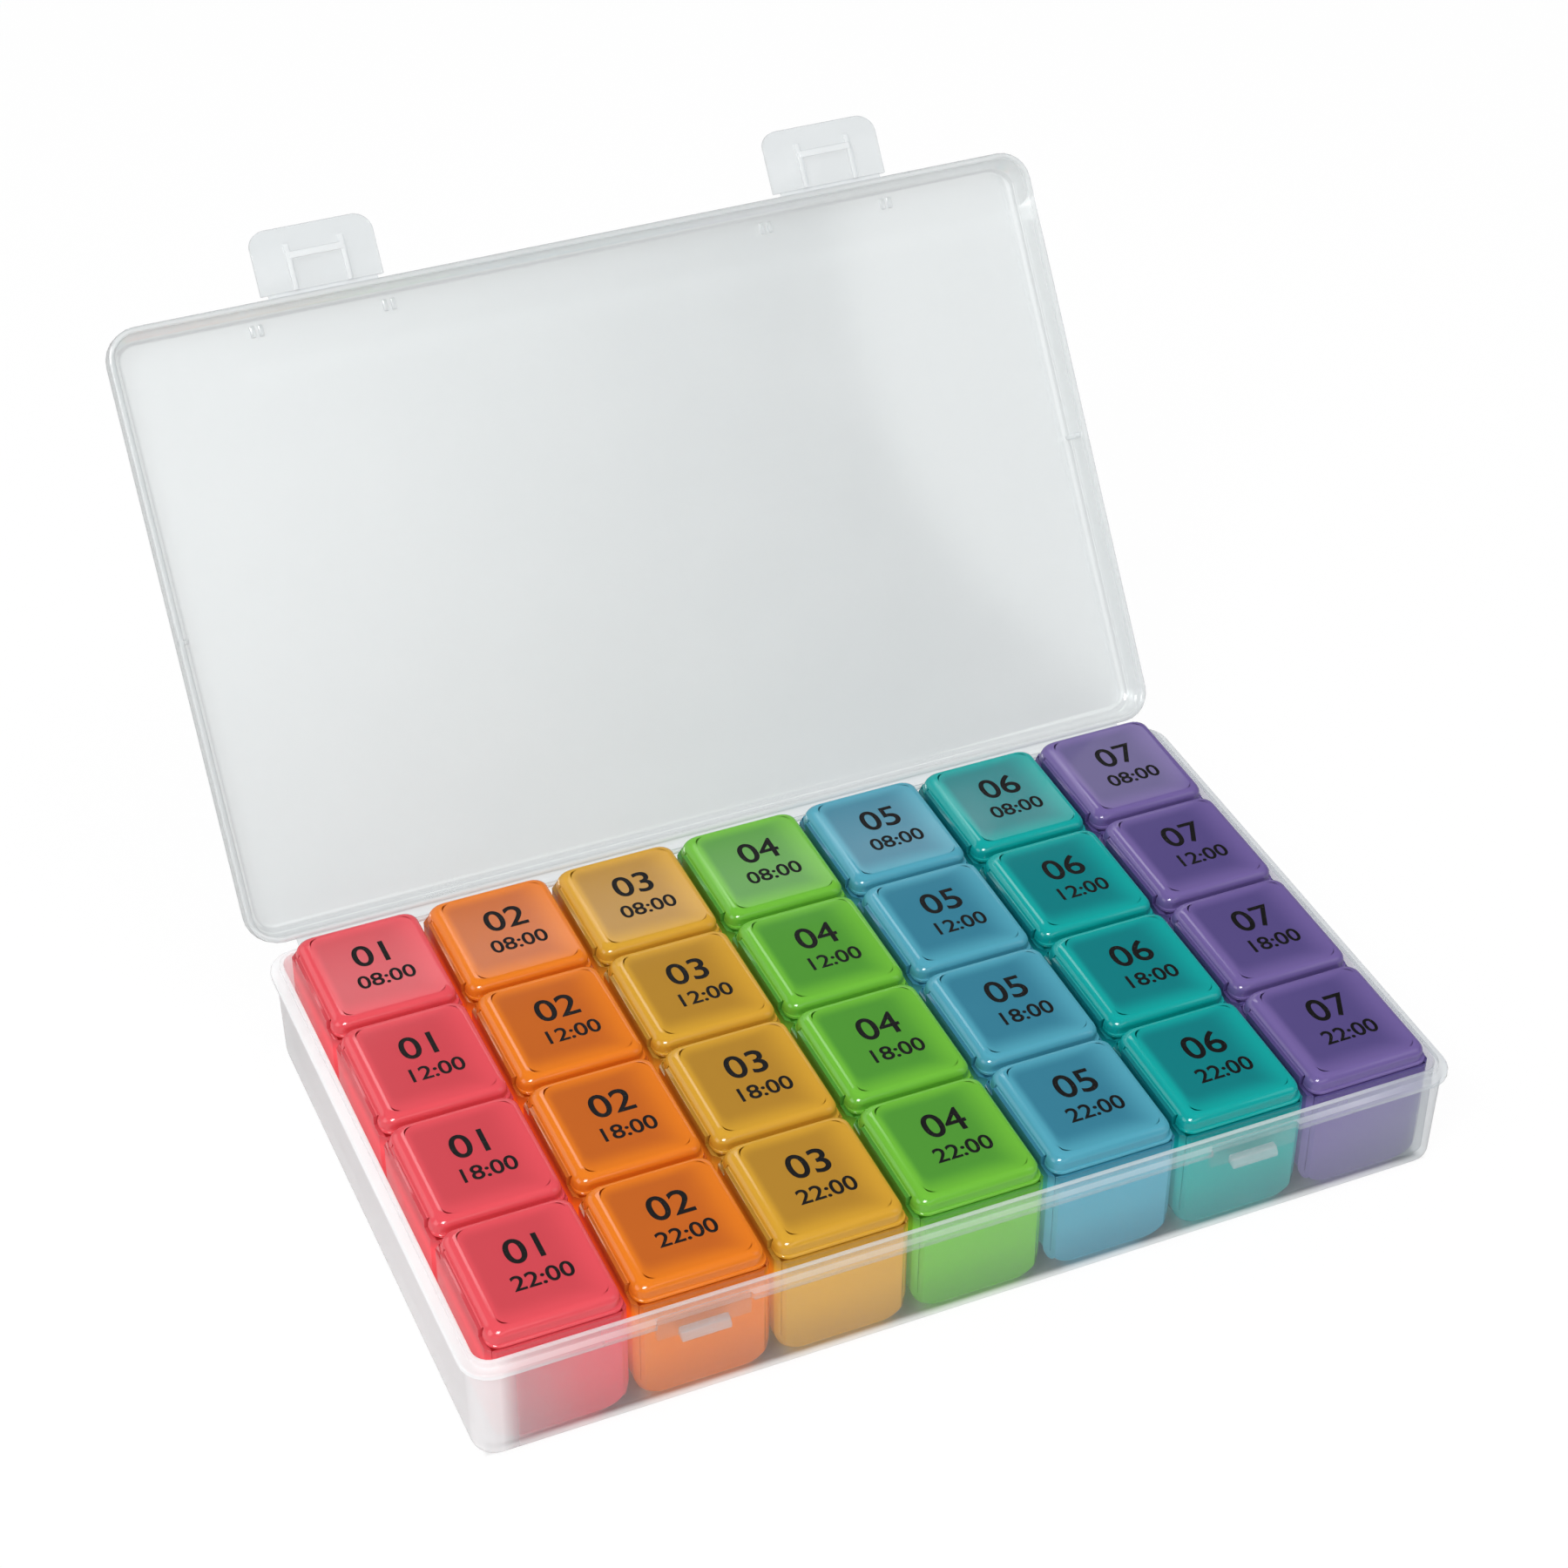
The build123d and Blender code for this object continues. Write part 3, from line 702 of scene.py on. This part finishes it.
lid_frame = Matrix((
    (1, 0, 0, 0),
    (0, math.cos(OPEN), math.sin(OPEN), HINGE_Y * MM),
    (0, -math.sin(OPEN), math.cos(OPEN), FLANGE_TOP * MM),
    (0, 0, 0, 1),
))
bend = (-LID_ROUND, LID_TOP - LID_ROUND)
rim_middle = RIM_FOOT + RIM_ROUND
lid_profile = [(PANEL_IN, LID_TOP - LID_WALL)] + quarter(bend, LID_ROUND - LID_WALL, 90, 0)
lid_profile += [(-LID_WALL, SKIRT_TOP), (-LID_WALL, RIM_INSIDE)]
lid_profile += quarter((RIM_ROUND - LID_WALL, rim_middle), RIM_ROUND, 180, 270, 4)
lid_profile += quarter((-RIM_ROUND, rim_middle), RIM_ROUND, 270, 360, 4)
lid_profile += [(0, RIM_TOP), (0, SKIRT_TOP)] + quarter(bend, LID_ROUND, 0, 90, 8)
lid_profile += [(PANEL_IN, LID_TOP)]


def lid_ring(grown, z):
    """One ring of the lid. The rim is white, and the skirt is a little whiter than the panel."""
    box = (-LID_X - grown, LID_X + grown, -HINGE_Y - LID_Y - grown, -HINGE_Y + LID_Y + grown)
    milk = RIM_MILK if z <= RIM_TOP else SKIRT_MILK if grown > 0.1 - LID_ROUND else PANEL_MILK
    return [(x, y, z, milk) for x, y in outline(box, LID_CORNER + grown)]


lid = loft([lid_ring(*p) for p in lid_profile])
side_rib = block(RIB_Y - RIB_HALF, RIB_Y + RIB_HALF, RIB_FOOT, RIB_TOP)
bump_section = block(BUMP_FRONT, BUMP_BACK, BUMP_FOOT, BUMP_TOP)
for side in (-1, 1):
    inner = side * (LID_X - LID_WALL)
    reach = sorted((inner - side * RIB_DEPTH, inner + side * SUNK))
    add_prism(lid, side_rib, *reach, BUMP_MILK, bevel=0.25)
    for pair in (-BUMP_X, BUMP_X):
        for x in (side * LATCH_X + pair - BUMP_APART, side * LATCH_X + pair + BUMP_APART):
            add_prism(lid, bump_section, x - BUMP_HALF, x + BUMP_HALF, BUMP_MILK, bevel=0.22)
lid_piece = finish_mesh(lid, "lid_moulding", polished, lid_frame)
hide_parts("case_lid")
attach(lid_piece, "case_lid")

# %% [markdown]
# ## Pieces that start from the solid
#
# The latches and the strips have many flat faces that meet at sharp edges in the solid model. A real
# moulding has no sharp edges, so each of these is copied, its triangles are merged into whole faces,
# and a Bevel modifier rounds the edges. Tall upright edges get the full width and the rest a quarter of
# it. The result is kept as a plain mesh.

# %% Round the edges of a solid
FLAT = math.radians(0.5)
CREASE = math.radians(40)
TALL = 10 * MM
LESS_ROUND = 0.25


def rounded_copy(node, paint, width, weight=None, within=None):
    """A copy of a solid with rounded edges, the upright ones four times as round. weight gives thick.
    What lies outside the object given as within is cut off."""
    made = bmesh.new()
    made.from_mesh(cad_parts[node].data)
    made.transform(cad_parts[node].matrix_world)
    bmesh.ops.remove_doubles(made, verts=made.verts, dist=MERGE)
    bmesh.ops.dissolve_limit(made, angle_limit=FLAT, verts=made.verts, edges=made.edges)
    roundness = made.edges.layers.float.new("bevel_weight_edge")
    for edge in made.edges:
        if edge.calc_face_angle(0) > CREASE:
            run = edge.verts[1].co - edge.verts[0].co
            edge[roundness] = 1.0 if abs(run.z) > TALL else LESS_ROUND
    mesh = bpy.data.meshes.new(node + "_moulding")
    made.to_mesh(mesh)
    made.free()
    piece = bpy.data.objects.new(mesh.name, mesh)
    scene.collection.objects.link(piece)
    bevel = piece.modifiers.new("rounding", "BEVEL")
    bevel.width = width * MM / LESS_ROUND
    bevel.segments = 3
    bevel.limit_method = "WEIGHT"
    bevel.use_clamp_overlap = True
    if within:
        cut = piece.modifiers.new("cut", "BOOLEAN")
        cut.operation = "INTERSECT"
        cut.solver = "EXACT"
        cut.object = within
    shown = piece.evaluated_get(bpy.context.evaluated_depsgraph_get())
    shown_mesh = bpy.data.meshes.new_from_object(shown)
    piece.modifiers.clear()
    piece.data = shown_mesh
    shown_mesh.materials.clear()
    shown_mesh.materials.append(paint)
    if weight:
        layer = shown_mesh.attributes.new("thick", "FLOAT", "POINT")
        layer.data.foreach_set("value", [weight(v.co) for v in shown_mesh.vertices])
    smooth(shown_mesh)
    print(piece.name, "has", len(shown_mesh.polygons), "faces")
    return piece


print("edges over", round(math.degrees(CREASE)), "degrees are rounded")

# %% [markdown]
# ## The latches
#
# A latch is a thin finger plate on the lid's front edge, moulded in one with the lid. On its inside two
# ribs stiffen it, and a bar between them hooks under the catch. The ribs and the hook are thicker than
# the plate, so they are milkier. Which points belong to them is asked in the lid's own frame, where the
# inside of the plate lies at one height.

# %% Make the latches
RIB_MILK, PLATE_MILK = 0.46, 0.24
PLATE_INSIDE = 0.2 * MM
LATCH_ROUND = 0.22


def latch_milk(point):
    """The ribs and the hook stand on the inside of the plate and are whiter than it."""
    return RIB_MILK if (lid_frame.inverted() @ point).z < PLATE_INSIDE else PLATE_MILK


for name in ("left_latch", "right_latch"):
    latch = rounded_copy(name, frosted, LATCH_ROUND, latch_milk)
    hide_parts(name)
    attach(latch, name)

# %% [markdown]
# ## The strips
#
# A strip is a row of four cups in one moulding. Its long lower edges and its two ends are much rounder
# than its other edges, which helps it slip into the tray. One bevel can't make both, so a block with
# the large rounds is drawn along the strip, and a Boolean keeps only what lies inside it.

# %% Make the strips
STRIP_PITCH = 30
STRIP_HALF, STRIP_END, STRIP_FOOT = 14.55, 64.25, 1.65
BLOCK_TOP = 45
STRIP_ROUND = 0.2
ROUND_ENDS, ROUND_FOOT, ROUND_STEPS = 1.5, 6.0, 6
MIDDLE = (len(COLOURS) - 1) / 2


def rounded_block(x):
    """A block just larger than the strip at that place, with a round foot and round ends."""
    turns = [math.radians(90 * step / ROUND_STEPS) for step in range(ROUND_STEPS + 1)]
    drawn_in = [ROUND_ENDS * (1 - math.sin(t)) for t in turns]
    ends = [STRIP_END - ROUND_ENDS * (1 - math.cos(t)) for t in turns]
    half = list(zip(drawn_in, ends))
    rings = []
    for inset, y in half + [(inset, -y) for inset, y in reversed(half)]:
        box = (x - STRIP_HALF + inset, x + STRIP_HALF - inset, STRIP_FOOT + inset, BLOCK_TOP - inset)
        rings.append([(across, y, z, 0) for across, z in outline(box, ROUND_FOOT - inset)])
    return finish_mesh(loft(rings), "block", ink)


for place, (name, paint) in enumerate(strip_paints.items()):
    block_piece = rounded_block(STRIP_PITCH * (place - MIDDLE))
    strip = rounded_copy(f"{name}_strip", paint, STRIP_ROUND, within=block_piece)
    bpy.data.objects.remove(block_piece)
    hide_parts(f"{name}_strip")
    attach(strip, f"{name}_strip")

# %% [markdown]
# ## One ring of a cap
#
# Every cap is the same moulding: a foot that rests on the strip, a skirt, a large round shoulder on the
# hinge side and small rounds on the other three, and below it a plug that fits the compartment. The
# notch on the hinge side makes room for the strip's tongue, so there the points of the rings are held
# back until the shoulder has passed over it.

# %% Draw the cap's outlines
CAP_FOOT, CAP_TOP = 27.5, 31.4
CAP_RIGHT, CAP_END = 13.75, 15.25
SHOULDER, SHOULDER_X = 3.0, -10.9
CAP_ROUND = 1.7
NOTCH_X, NOTCH_END = -13.05, 11.4
HINGE_POINTS = (11.5, 11.35, 11.2, 0, -11.2, -11.35, -11.5)
PLUG_OPEN_X = -9


def cap_ring(box, radius, z, thick, notch=True, open_left=False):
    """One ring of the cap, with the notch and the plug's open side cut out."""
    ring = []
    for x, y in outline(box, radius, left=HINGE_POINTS, steps=5):
        held = notch and abs(y) < NOTCH_END and x < NOTCH_X
        low = open_left and x < PLUG_OPEN_X
        ring.append((NOTCH_X if held else x, y, max(z, CAP_FOOT) if low else z, thick))
    return ring


def skirt(z):
    """The cap's outline at a height of the skirt or the shoulder, inside its rounds."""
    up = z - (CAP_TOP - SHOULDER)
    left = SHOULDER_X - math.sqrt(max(0, SHOULDER**2 - up**2))
    past = max(0, z - (CAP_TOP - CAP_ROUND))
    drawn_in = CAP_ROUND - math.sqrt(max(0, CAP_ROUND**2 - past**2))
    return (left, CAP_RIGHT - drawn_in, drawn_in - CAP_END, CAP_END - drawn_in)


print("skirt at its foot", [round(edge, 2) for edge in skirt(CAP_FOOT)])

# %% [markdown]
# ## One cap
#
# The cap is drawn once at the origin, from the underside of its plate down round the plug, out to the
# foot, and up over the shoulder to the middle of its top. The last number of each ring is its painted
# light: most at the foot, a painted bright line, and on the shoulder, where light gathers, and none in
# the middle, which is painted as shade over the compartment.

# %% Stack the cap's rings
CORNER, TOP_CORNER = 2.8, 1.6
PLATE_UNDER, PLUG_FOOT, PLUG_ROUND = 30.4, 26.5, 26.75
FOOT_LOW, FOOT_HIGH, FOOT_TOP, SKIRT_FOOT = 27.7, 28.2, 28.4, 28.42
NOTCHED = (28.6, 29.2, 29.7, 29.945)
OVER_NOTCH = (29.95, 30.2, 30.5, 30.8)
SHOULDER_LIGHT = ((31.0, 1.0), (31.15, 1.1), (31.26, 1.1), (31.34, 1.0), (31.385, 0.95), (CAP_TOP, 0.9))
TOP_LIGHT = ((0.04, 0.88), (0.2, 0.74), (0.4, 0.5), (0.6, 0.27), (0.8, 0.09), (1.0, 0.0))
PULL_LEFT, PULL_RIGHT, PULL_FRONT, PULL_BACK = 1.5, 7.0, 5.0, 3.0
plug_in, plug_out = (-10.1, 12.1, -14.15, 14.15), (-10.9, 12.9, -14.95, 14.95)
tip_in, tip_out = (-10.3, 12.3, -14.35, 14.35), (-10.7, 12.7, -14.75, 14.75)
cap_foot, foot_in = (-13.9, 14.2, -15.7, 15.7), (-13.75, 14.0, -15.5, 15.5)
plate, skirt_foot = (-9, 11, -13, 13), (-13.9, 13.85, -15.35, 15.35)
# The last numbers are painted light: the foot's bright line and the lit shoulder, down to the shaded top.
cap_rings = [
    cap_ring(plate, 0.8, PLATE_UNDER, 0.0),
    cap_ring(plug_in, 1.0, PLATE_UNDER, 0.1),
    cap_ring(plug_in, 1.0, PLUG_ROUND, 0.5, open_left=True),
    cap_ring(tip_in, 1.1, PLUG_FOOT, 0.7, open_left=True),
    cap_ring(tip_out, 1.3, PLUG_FOOT, 0.7, open_left=True),
    cap_ring(plug_out, 1.5, PLUG_ROUND, 0.5, open_left=True),
    cap_ring(plug_out, 1.5, CAP_FOOT, 0.5),
    cap_ring(foot_in, CORNER, CAP_FOOT, 0.8),
    cap_ring(cap_foot, CORNER, FOOT_LOW, 1.1),
    cap_ring(cap_foot, CORNER, FOOT_HIGH, 1.1),
    cap_ring(foot_in, CORNER, FOOT_TOP, 1.0),
    cap_ring(skirt_foot, CORNER, SKIRT_FOOT, 0.7),
]
cap_rings += [cap_ring(skirt(z), CORNER, z, 0.7) for z in NOTCHED]
cap_rings += [cap_ring(skirt(z), CORNER, z, 0.85, notch=False) for z in OVER_NOTCH]
cap_rings += [cap_ring(skirt(z), CORNER, z, thick, notch=False) for z, thick in SHOULDER_LIGHT]
left, right, front, back = skirt(CAP_TOP)
for share, thick in TOP_LIGHT:
    sides = (left + PULL_LEFT * share, right - PULL_RIGHT * share)
    ends = (front + PULL_FRONT * share, back - PULL_BACK * share)
    cap_rings.append(cap_ring((*sides, *ends), TOP_CORNER, CAP_TOP, thick, notch=False))
cap_model = finish_mesh(loft(cap_rings), "cap_model", paints["red"])

# %% [markdown]
# ## A tree for the caps
#
# The caps repeat, so a Geometry Nodes tree puts them in their places. It takes the one drawn cap, sets
# its colour, and moves it to its strip and row together with the print on top of it.

# %% Build the tree
tree = bpy.data.node_groups.new("cap in its place", "GeometryNodeTree")
TREE_INPUTS = {
    "Geometry": "Geometry",
    "Place": "Vector",
    "Plastic": "Material",
    "Number": "String",
    "Time": "String",
}
for name, kind in TREE_INPUTS.items():
    tree.interface.new_socket(name, in_out="INPUT", socket_type="NodeSocket" + kind)
tree.interface.new_socket("Geometry", in_out="OUTPUT", socket_type="NodeSocketGeometry")
given = tree.nodes.new("NodeGroupInput")
result = tree.nodes.new("NodeGroupOutput")
join = tree.nodes.new("GeometryNodeJoinGeometry")
move = tree.nodes.new("GeometryNodeTransform")
realize = tree.nodes.new("GeometryNodeRealizeInstances")
plastic = tree.nodes.new("GeometryNodeSetMaterial")
tree.links.new(given.outputs["Geometry"], plastic.inputs["Geometry"])
tree.links.new(given.outputs["Plastic"], plastic.inputs["Material"])
tree.links.new(given.outputs["Place"], move.inputs["Translation"])


def chain(*pairs):
    """Links the first output of each node to the first input of the other."""
    for first, second in pairs:
        tree.links.new(first.outputs[0], second.inputs[0])


chain((plastic, join), (join, move), (move, realize), (realize, result))
sockets = {item.name: item.identifier for item in tree.interface.items_tree if item.in_out == "INPUT"}
print("tree has", len(tree.nodes), "nodes and inputs", list(sockets))

# %% [markdown]
# ## The print
#
# Each cap carries a plain number for its strip and a plain time for its row. Text comes as curves.
# They are filled, and a flat pen is drawn round them, which makes the figures bolder. The print lies a
# little above the cap, as a film of ink does.

# %% Write the print
INK_FILM = 0.02
NUMBER_SIZE, NUMBER_PEN, NUMBER_PLACE = 9.6, 0.12, (0.9, 3.6)
TIME_SIZE, TIME_PEN, TIME_PLACE = 5.8, 0.09, (1.2, -4.6)
PEN_CORNERS = 6
PEN_FLATNESS = (1, 1, 0.05)


def print_text(source, size, weight, place):
    """Adds a line of print: text to curves, the curves filled and drawn round with a pen, and ink."""
    text = tree.nodes.new("GeometryNodeStringToCurves")
    text.align_x = "CENTER"
    text.align_y = "MIDDLE"
    text.inputs["Size"].default_value = size * MM
    single = tree.nodes.new("GeometryNodeRealizeInstances")
    fill = tree.nodes.new("GeometryNodeFillCurve")
    pen = tree.nodes.new("GeometryNodeCurvePrimitiveCircle")
    pen.inputs["Resolution"].default_value = PEN_CORNERS
    pen.inputs["Radius"].default_value = weight * MM
    stroke = tree.nodes.new("GeometryNodeCurveToMesh")
    press = tree.nodes.new("GeometryNodeTransform")
    press.inputs["Scale"].default_value = PEN_FLATNESS
    inked_fill, inked_stroke = (tree.nodes.new("GeometryNodeSetMaterial") for part in range(2))
    for one in (inked_fill, inked_stroke):
        one.inputs["Material"].default_value = ink
    bold = tree.nodes.new("GeometryNodeJoinGeometry")
    put = tree.nodes.new("GeometryNodeTransform")
    put.inputs["Translation"].default_value = Vector((*place, CAP_TOP + INK_FILM)) * MM
    tree.links.new(given.outputs[source], text.inputs["String"])
    chain((text, single), (single, fill), (single, stroke), (stroke, press))
    chain((fill, inked_fill), (press, inked_stroke), (inked_fill, bold), (inked_stroke, bold))
    chain((bold, put), (put, join))
    tree.links.new(pen.outputs[0], stroke.inputs["Profile Curve"])


print_text("Number", NUMBER_SIZE, NUMBER_PEN, NUMBER_PLACE)
print_text("Time", TIME_SIZE, TIME_PEN, TIME_PLACE)
print("tree has", len(tree.nodes), "nodes with the print")

# %% [markdown]
# ## Twenty-eight caps
#
# Every cap moves by itself and needs an object of its own. So the tree runs once for each cap, with
# that cap's place, colour and print, and the result is kept as an ordinary mesh.

# %% Put the caps in their places
ROW_PITCH = 32.0
TIMES = ("08:00", "12:00", "18:00", "22:00")
FIRST_ROW = (len(TIMES) - 1) / 2
cap_places = {}
for i, (name, paint) in enumerate(paints.items()):
    for j, time in enumerate(TIMES):
        body = f"{name}_cap_{j + 1}"
        cap_places[body] = Vector(((i - MIDDLE) * STRIP_PITCH, (FIRST_ROW - j) * ROW_PITCH, 0))
        maker = bpy.data.objects.new(body + "_moulding", cap_model.data.copy())
        scene.collection.objects.link(maker)
        placing = maker.modifiers.new("placing", "NODES")
        placing.node_group = tree
        placing[sockets["Place"]] = cap_places[body] * MM
        placing[sockets["Plastic"]] = paint
        placing[sockets["Number"]] = f"0{i + 1}"
        placing[sockets["Time"]] = time
        shown = maker.evaluated_get(bpy.context.evaluated_depsgraph_get())
        placed = bpy.data.meshes.new_from_object(shown)
        maker.modifiers.clear()
        maker.data = placed
        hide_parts(body)
        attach(maker, body)
bpy.data.objects.remove(cap_model)
print("caps", len(cap_places), "the last has", len(placed.polygons), "faces")

# %% [markdown]
# ## Living hinges
#
# The caps, the lid and the latches all hang on thin webs that bend. A web belongs to two bodies at
# once: its first edge stays with one and its last edge goes with the other. Each is drawn as a thin
# ribbon with points along the bend and a thinner waist in its middle, where a living hinge folds.

# %% Draw a web
WEB_STEPS = 8
WAIST = 0.35
# A cap's web carries painted light, as the cap's shoulder does; the case's webs carry milk.
CASE_WEB_MILK, CAP_WEB_LIGHT = 0.4, 0.8


def web(name, paint, path, thickness, x_or_y, low, high, place=None, shift=(0, 0, 0)):
    """A ribbon along X or Y. path is a start, a bend and an end in the section."""
    made = bmesh.new()
    layer = made.verts.layers.float.new("thick")
    start, bend, end = (Vector(point) for point in path)
    rows = []
    for step in range(WEB_STEPS + 1):
        t = step / WEB_STEPS
        middle = start * (1 - t) ** 2 + bend * 2 * t * (1 - t) + end * t**2
        along = ((bend - start) * (1 - t) + (end - bend) * t).normalized()
        waist = 1 - WAIST * math.sin(math.pi * t)
        across = Vector((-along.y, along.x)) * thickness / 2 * waist
        corners = []
        for edge, side in ((low, -1), (low, 1), (high, 1), (high, -1)):
            point = middle + across * side
            spot = (edge, *point) if x_or_y == "x" else (point.x, edge, point.y)
            corners.append(made.verts.new((Vector(spot) + Vector(shift)) * MM))
            corners[-1][layer] = CASE_WEB_MILK if paint is frosted else CAP_WEB_LIGHT
        rows.append(corners)
    made.faces.new(rows[0])
    made.faces.new(rows[-1][::-1])
    for first, second in zip(rows, rows[1:]):
        for i in range(4):
            k = (i + 1) % 4
            made.faces.new((first[i], first[k], second[k], second[i]))
    bmesh.ops.recalc_face_normals(made, faces=made.faces)
    return finish_mesh(made, name, paint, place)


print("a web has", WEB_STEPS, "steps across its bend")

# %% [markdown]
# ## The caps' hinges
#
# A cap's web runs from the strip's tongue up to the cap's shoulder.

# %% Hang the caps
CAP_WEB_START, CAP_WEB_BEND, CAP_WEB_END = (-13.62, 29.5), (-13.45, 29.75), (-13.27, 30.0)
CAP_WEB_HALF, CAP_WEB_THICKNESS = 11, 0.4
cap_web_path = (CAP_WEB_START, CAP_WEB_BEND, CAP_WEB_END)
for name, paint in paints.items():
    for j in range(len(TIMES)):
        body = f"{name}_cap_{j + 1}"
        spot = cap_places[body]
        width = (-CAP_WEB_HALF, CAP_WEB_HALF)
        ribbon = web(body + "_web", paint, cap_web_path, CAP_WEB_THICKNESS, "y", *width, shift=spot)
        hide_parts(f"{name}_cap_hinges")
        start, end = (Vector((x, 0, z)) + spot for x, z in (CAP_WEB_START, CAP_WEB_END))
        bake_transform(ribbon, f"{name}_strip", body, start * MM, end * MM)

# %% [markdown]
# ## The lid's and the latches' hinges
#
# The lid's web is drawn as it lies with the lid open, from the tray's back flange round to the lid's
# edge. The latches' webs are drawn flat in the lid's own frame and swung open with it. The blend runs
# between two points just inside the ends of each web.

# %% Hang the lid and the latches
LID_WEB_PATH = ((67.4, 24.7), (69.65, 24.6), (70.2, 25.45))
LID_WEB_START, LID_WEB_END = (0, 67.7, 24.7), (0, 70.1, 25.3)
LID_WEB_HALF, LID_WEB_THICKNESS = 101.2, 0.6
STRAP_Z, STRAP_HALF, STRAP_THICKNESS = 0.5, 12.5, 0.5
STRAP_PATH = [(y, STRAP_Z) for y in (-137.9, -138.35, -138.8)]
STRAP_BLEND = (-137.95, -138.75)
width = (-LID_WEB_HALF, LID_WEB_HALF)
back_web = web("lid_web", frosted, LID_WEB_PATH, LID_WEB_THICKNESS, "x", *width)
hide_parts("lid_hinge_web")
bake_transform(back_web, "tray", "case_lid", Vector(LID_WEB_START) * MM, Vector(LID_WEB_END) * MM)
for side, name in ((-1, "left"), (1, "right")):
    x = side * LATCH_X
    width = (x - STRAP_HALF, x + STRAP_HALF)
    strap_name = f"{name}_latch_strap"
    strap = web(strap_name, frosted, STRAP_PATH, STRAP_THICKNESS, "x", *width, lid_frame)
    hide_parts(f"{name}_latch_web")
    ends = [lid_frame @ (Vector((x, y, STRAP_Z)) * MM) for y in STRAP_BLEND]
    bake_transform(strap, "case_lid", f"{name}_latch", *ends)
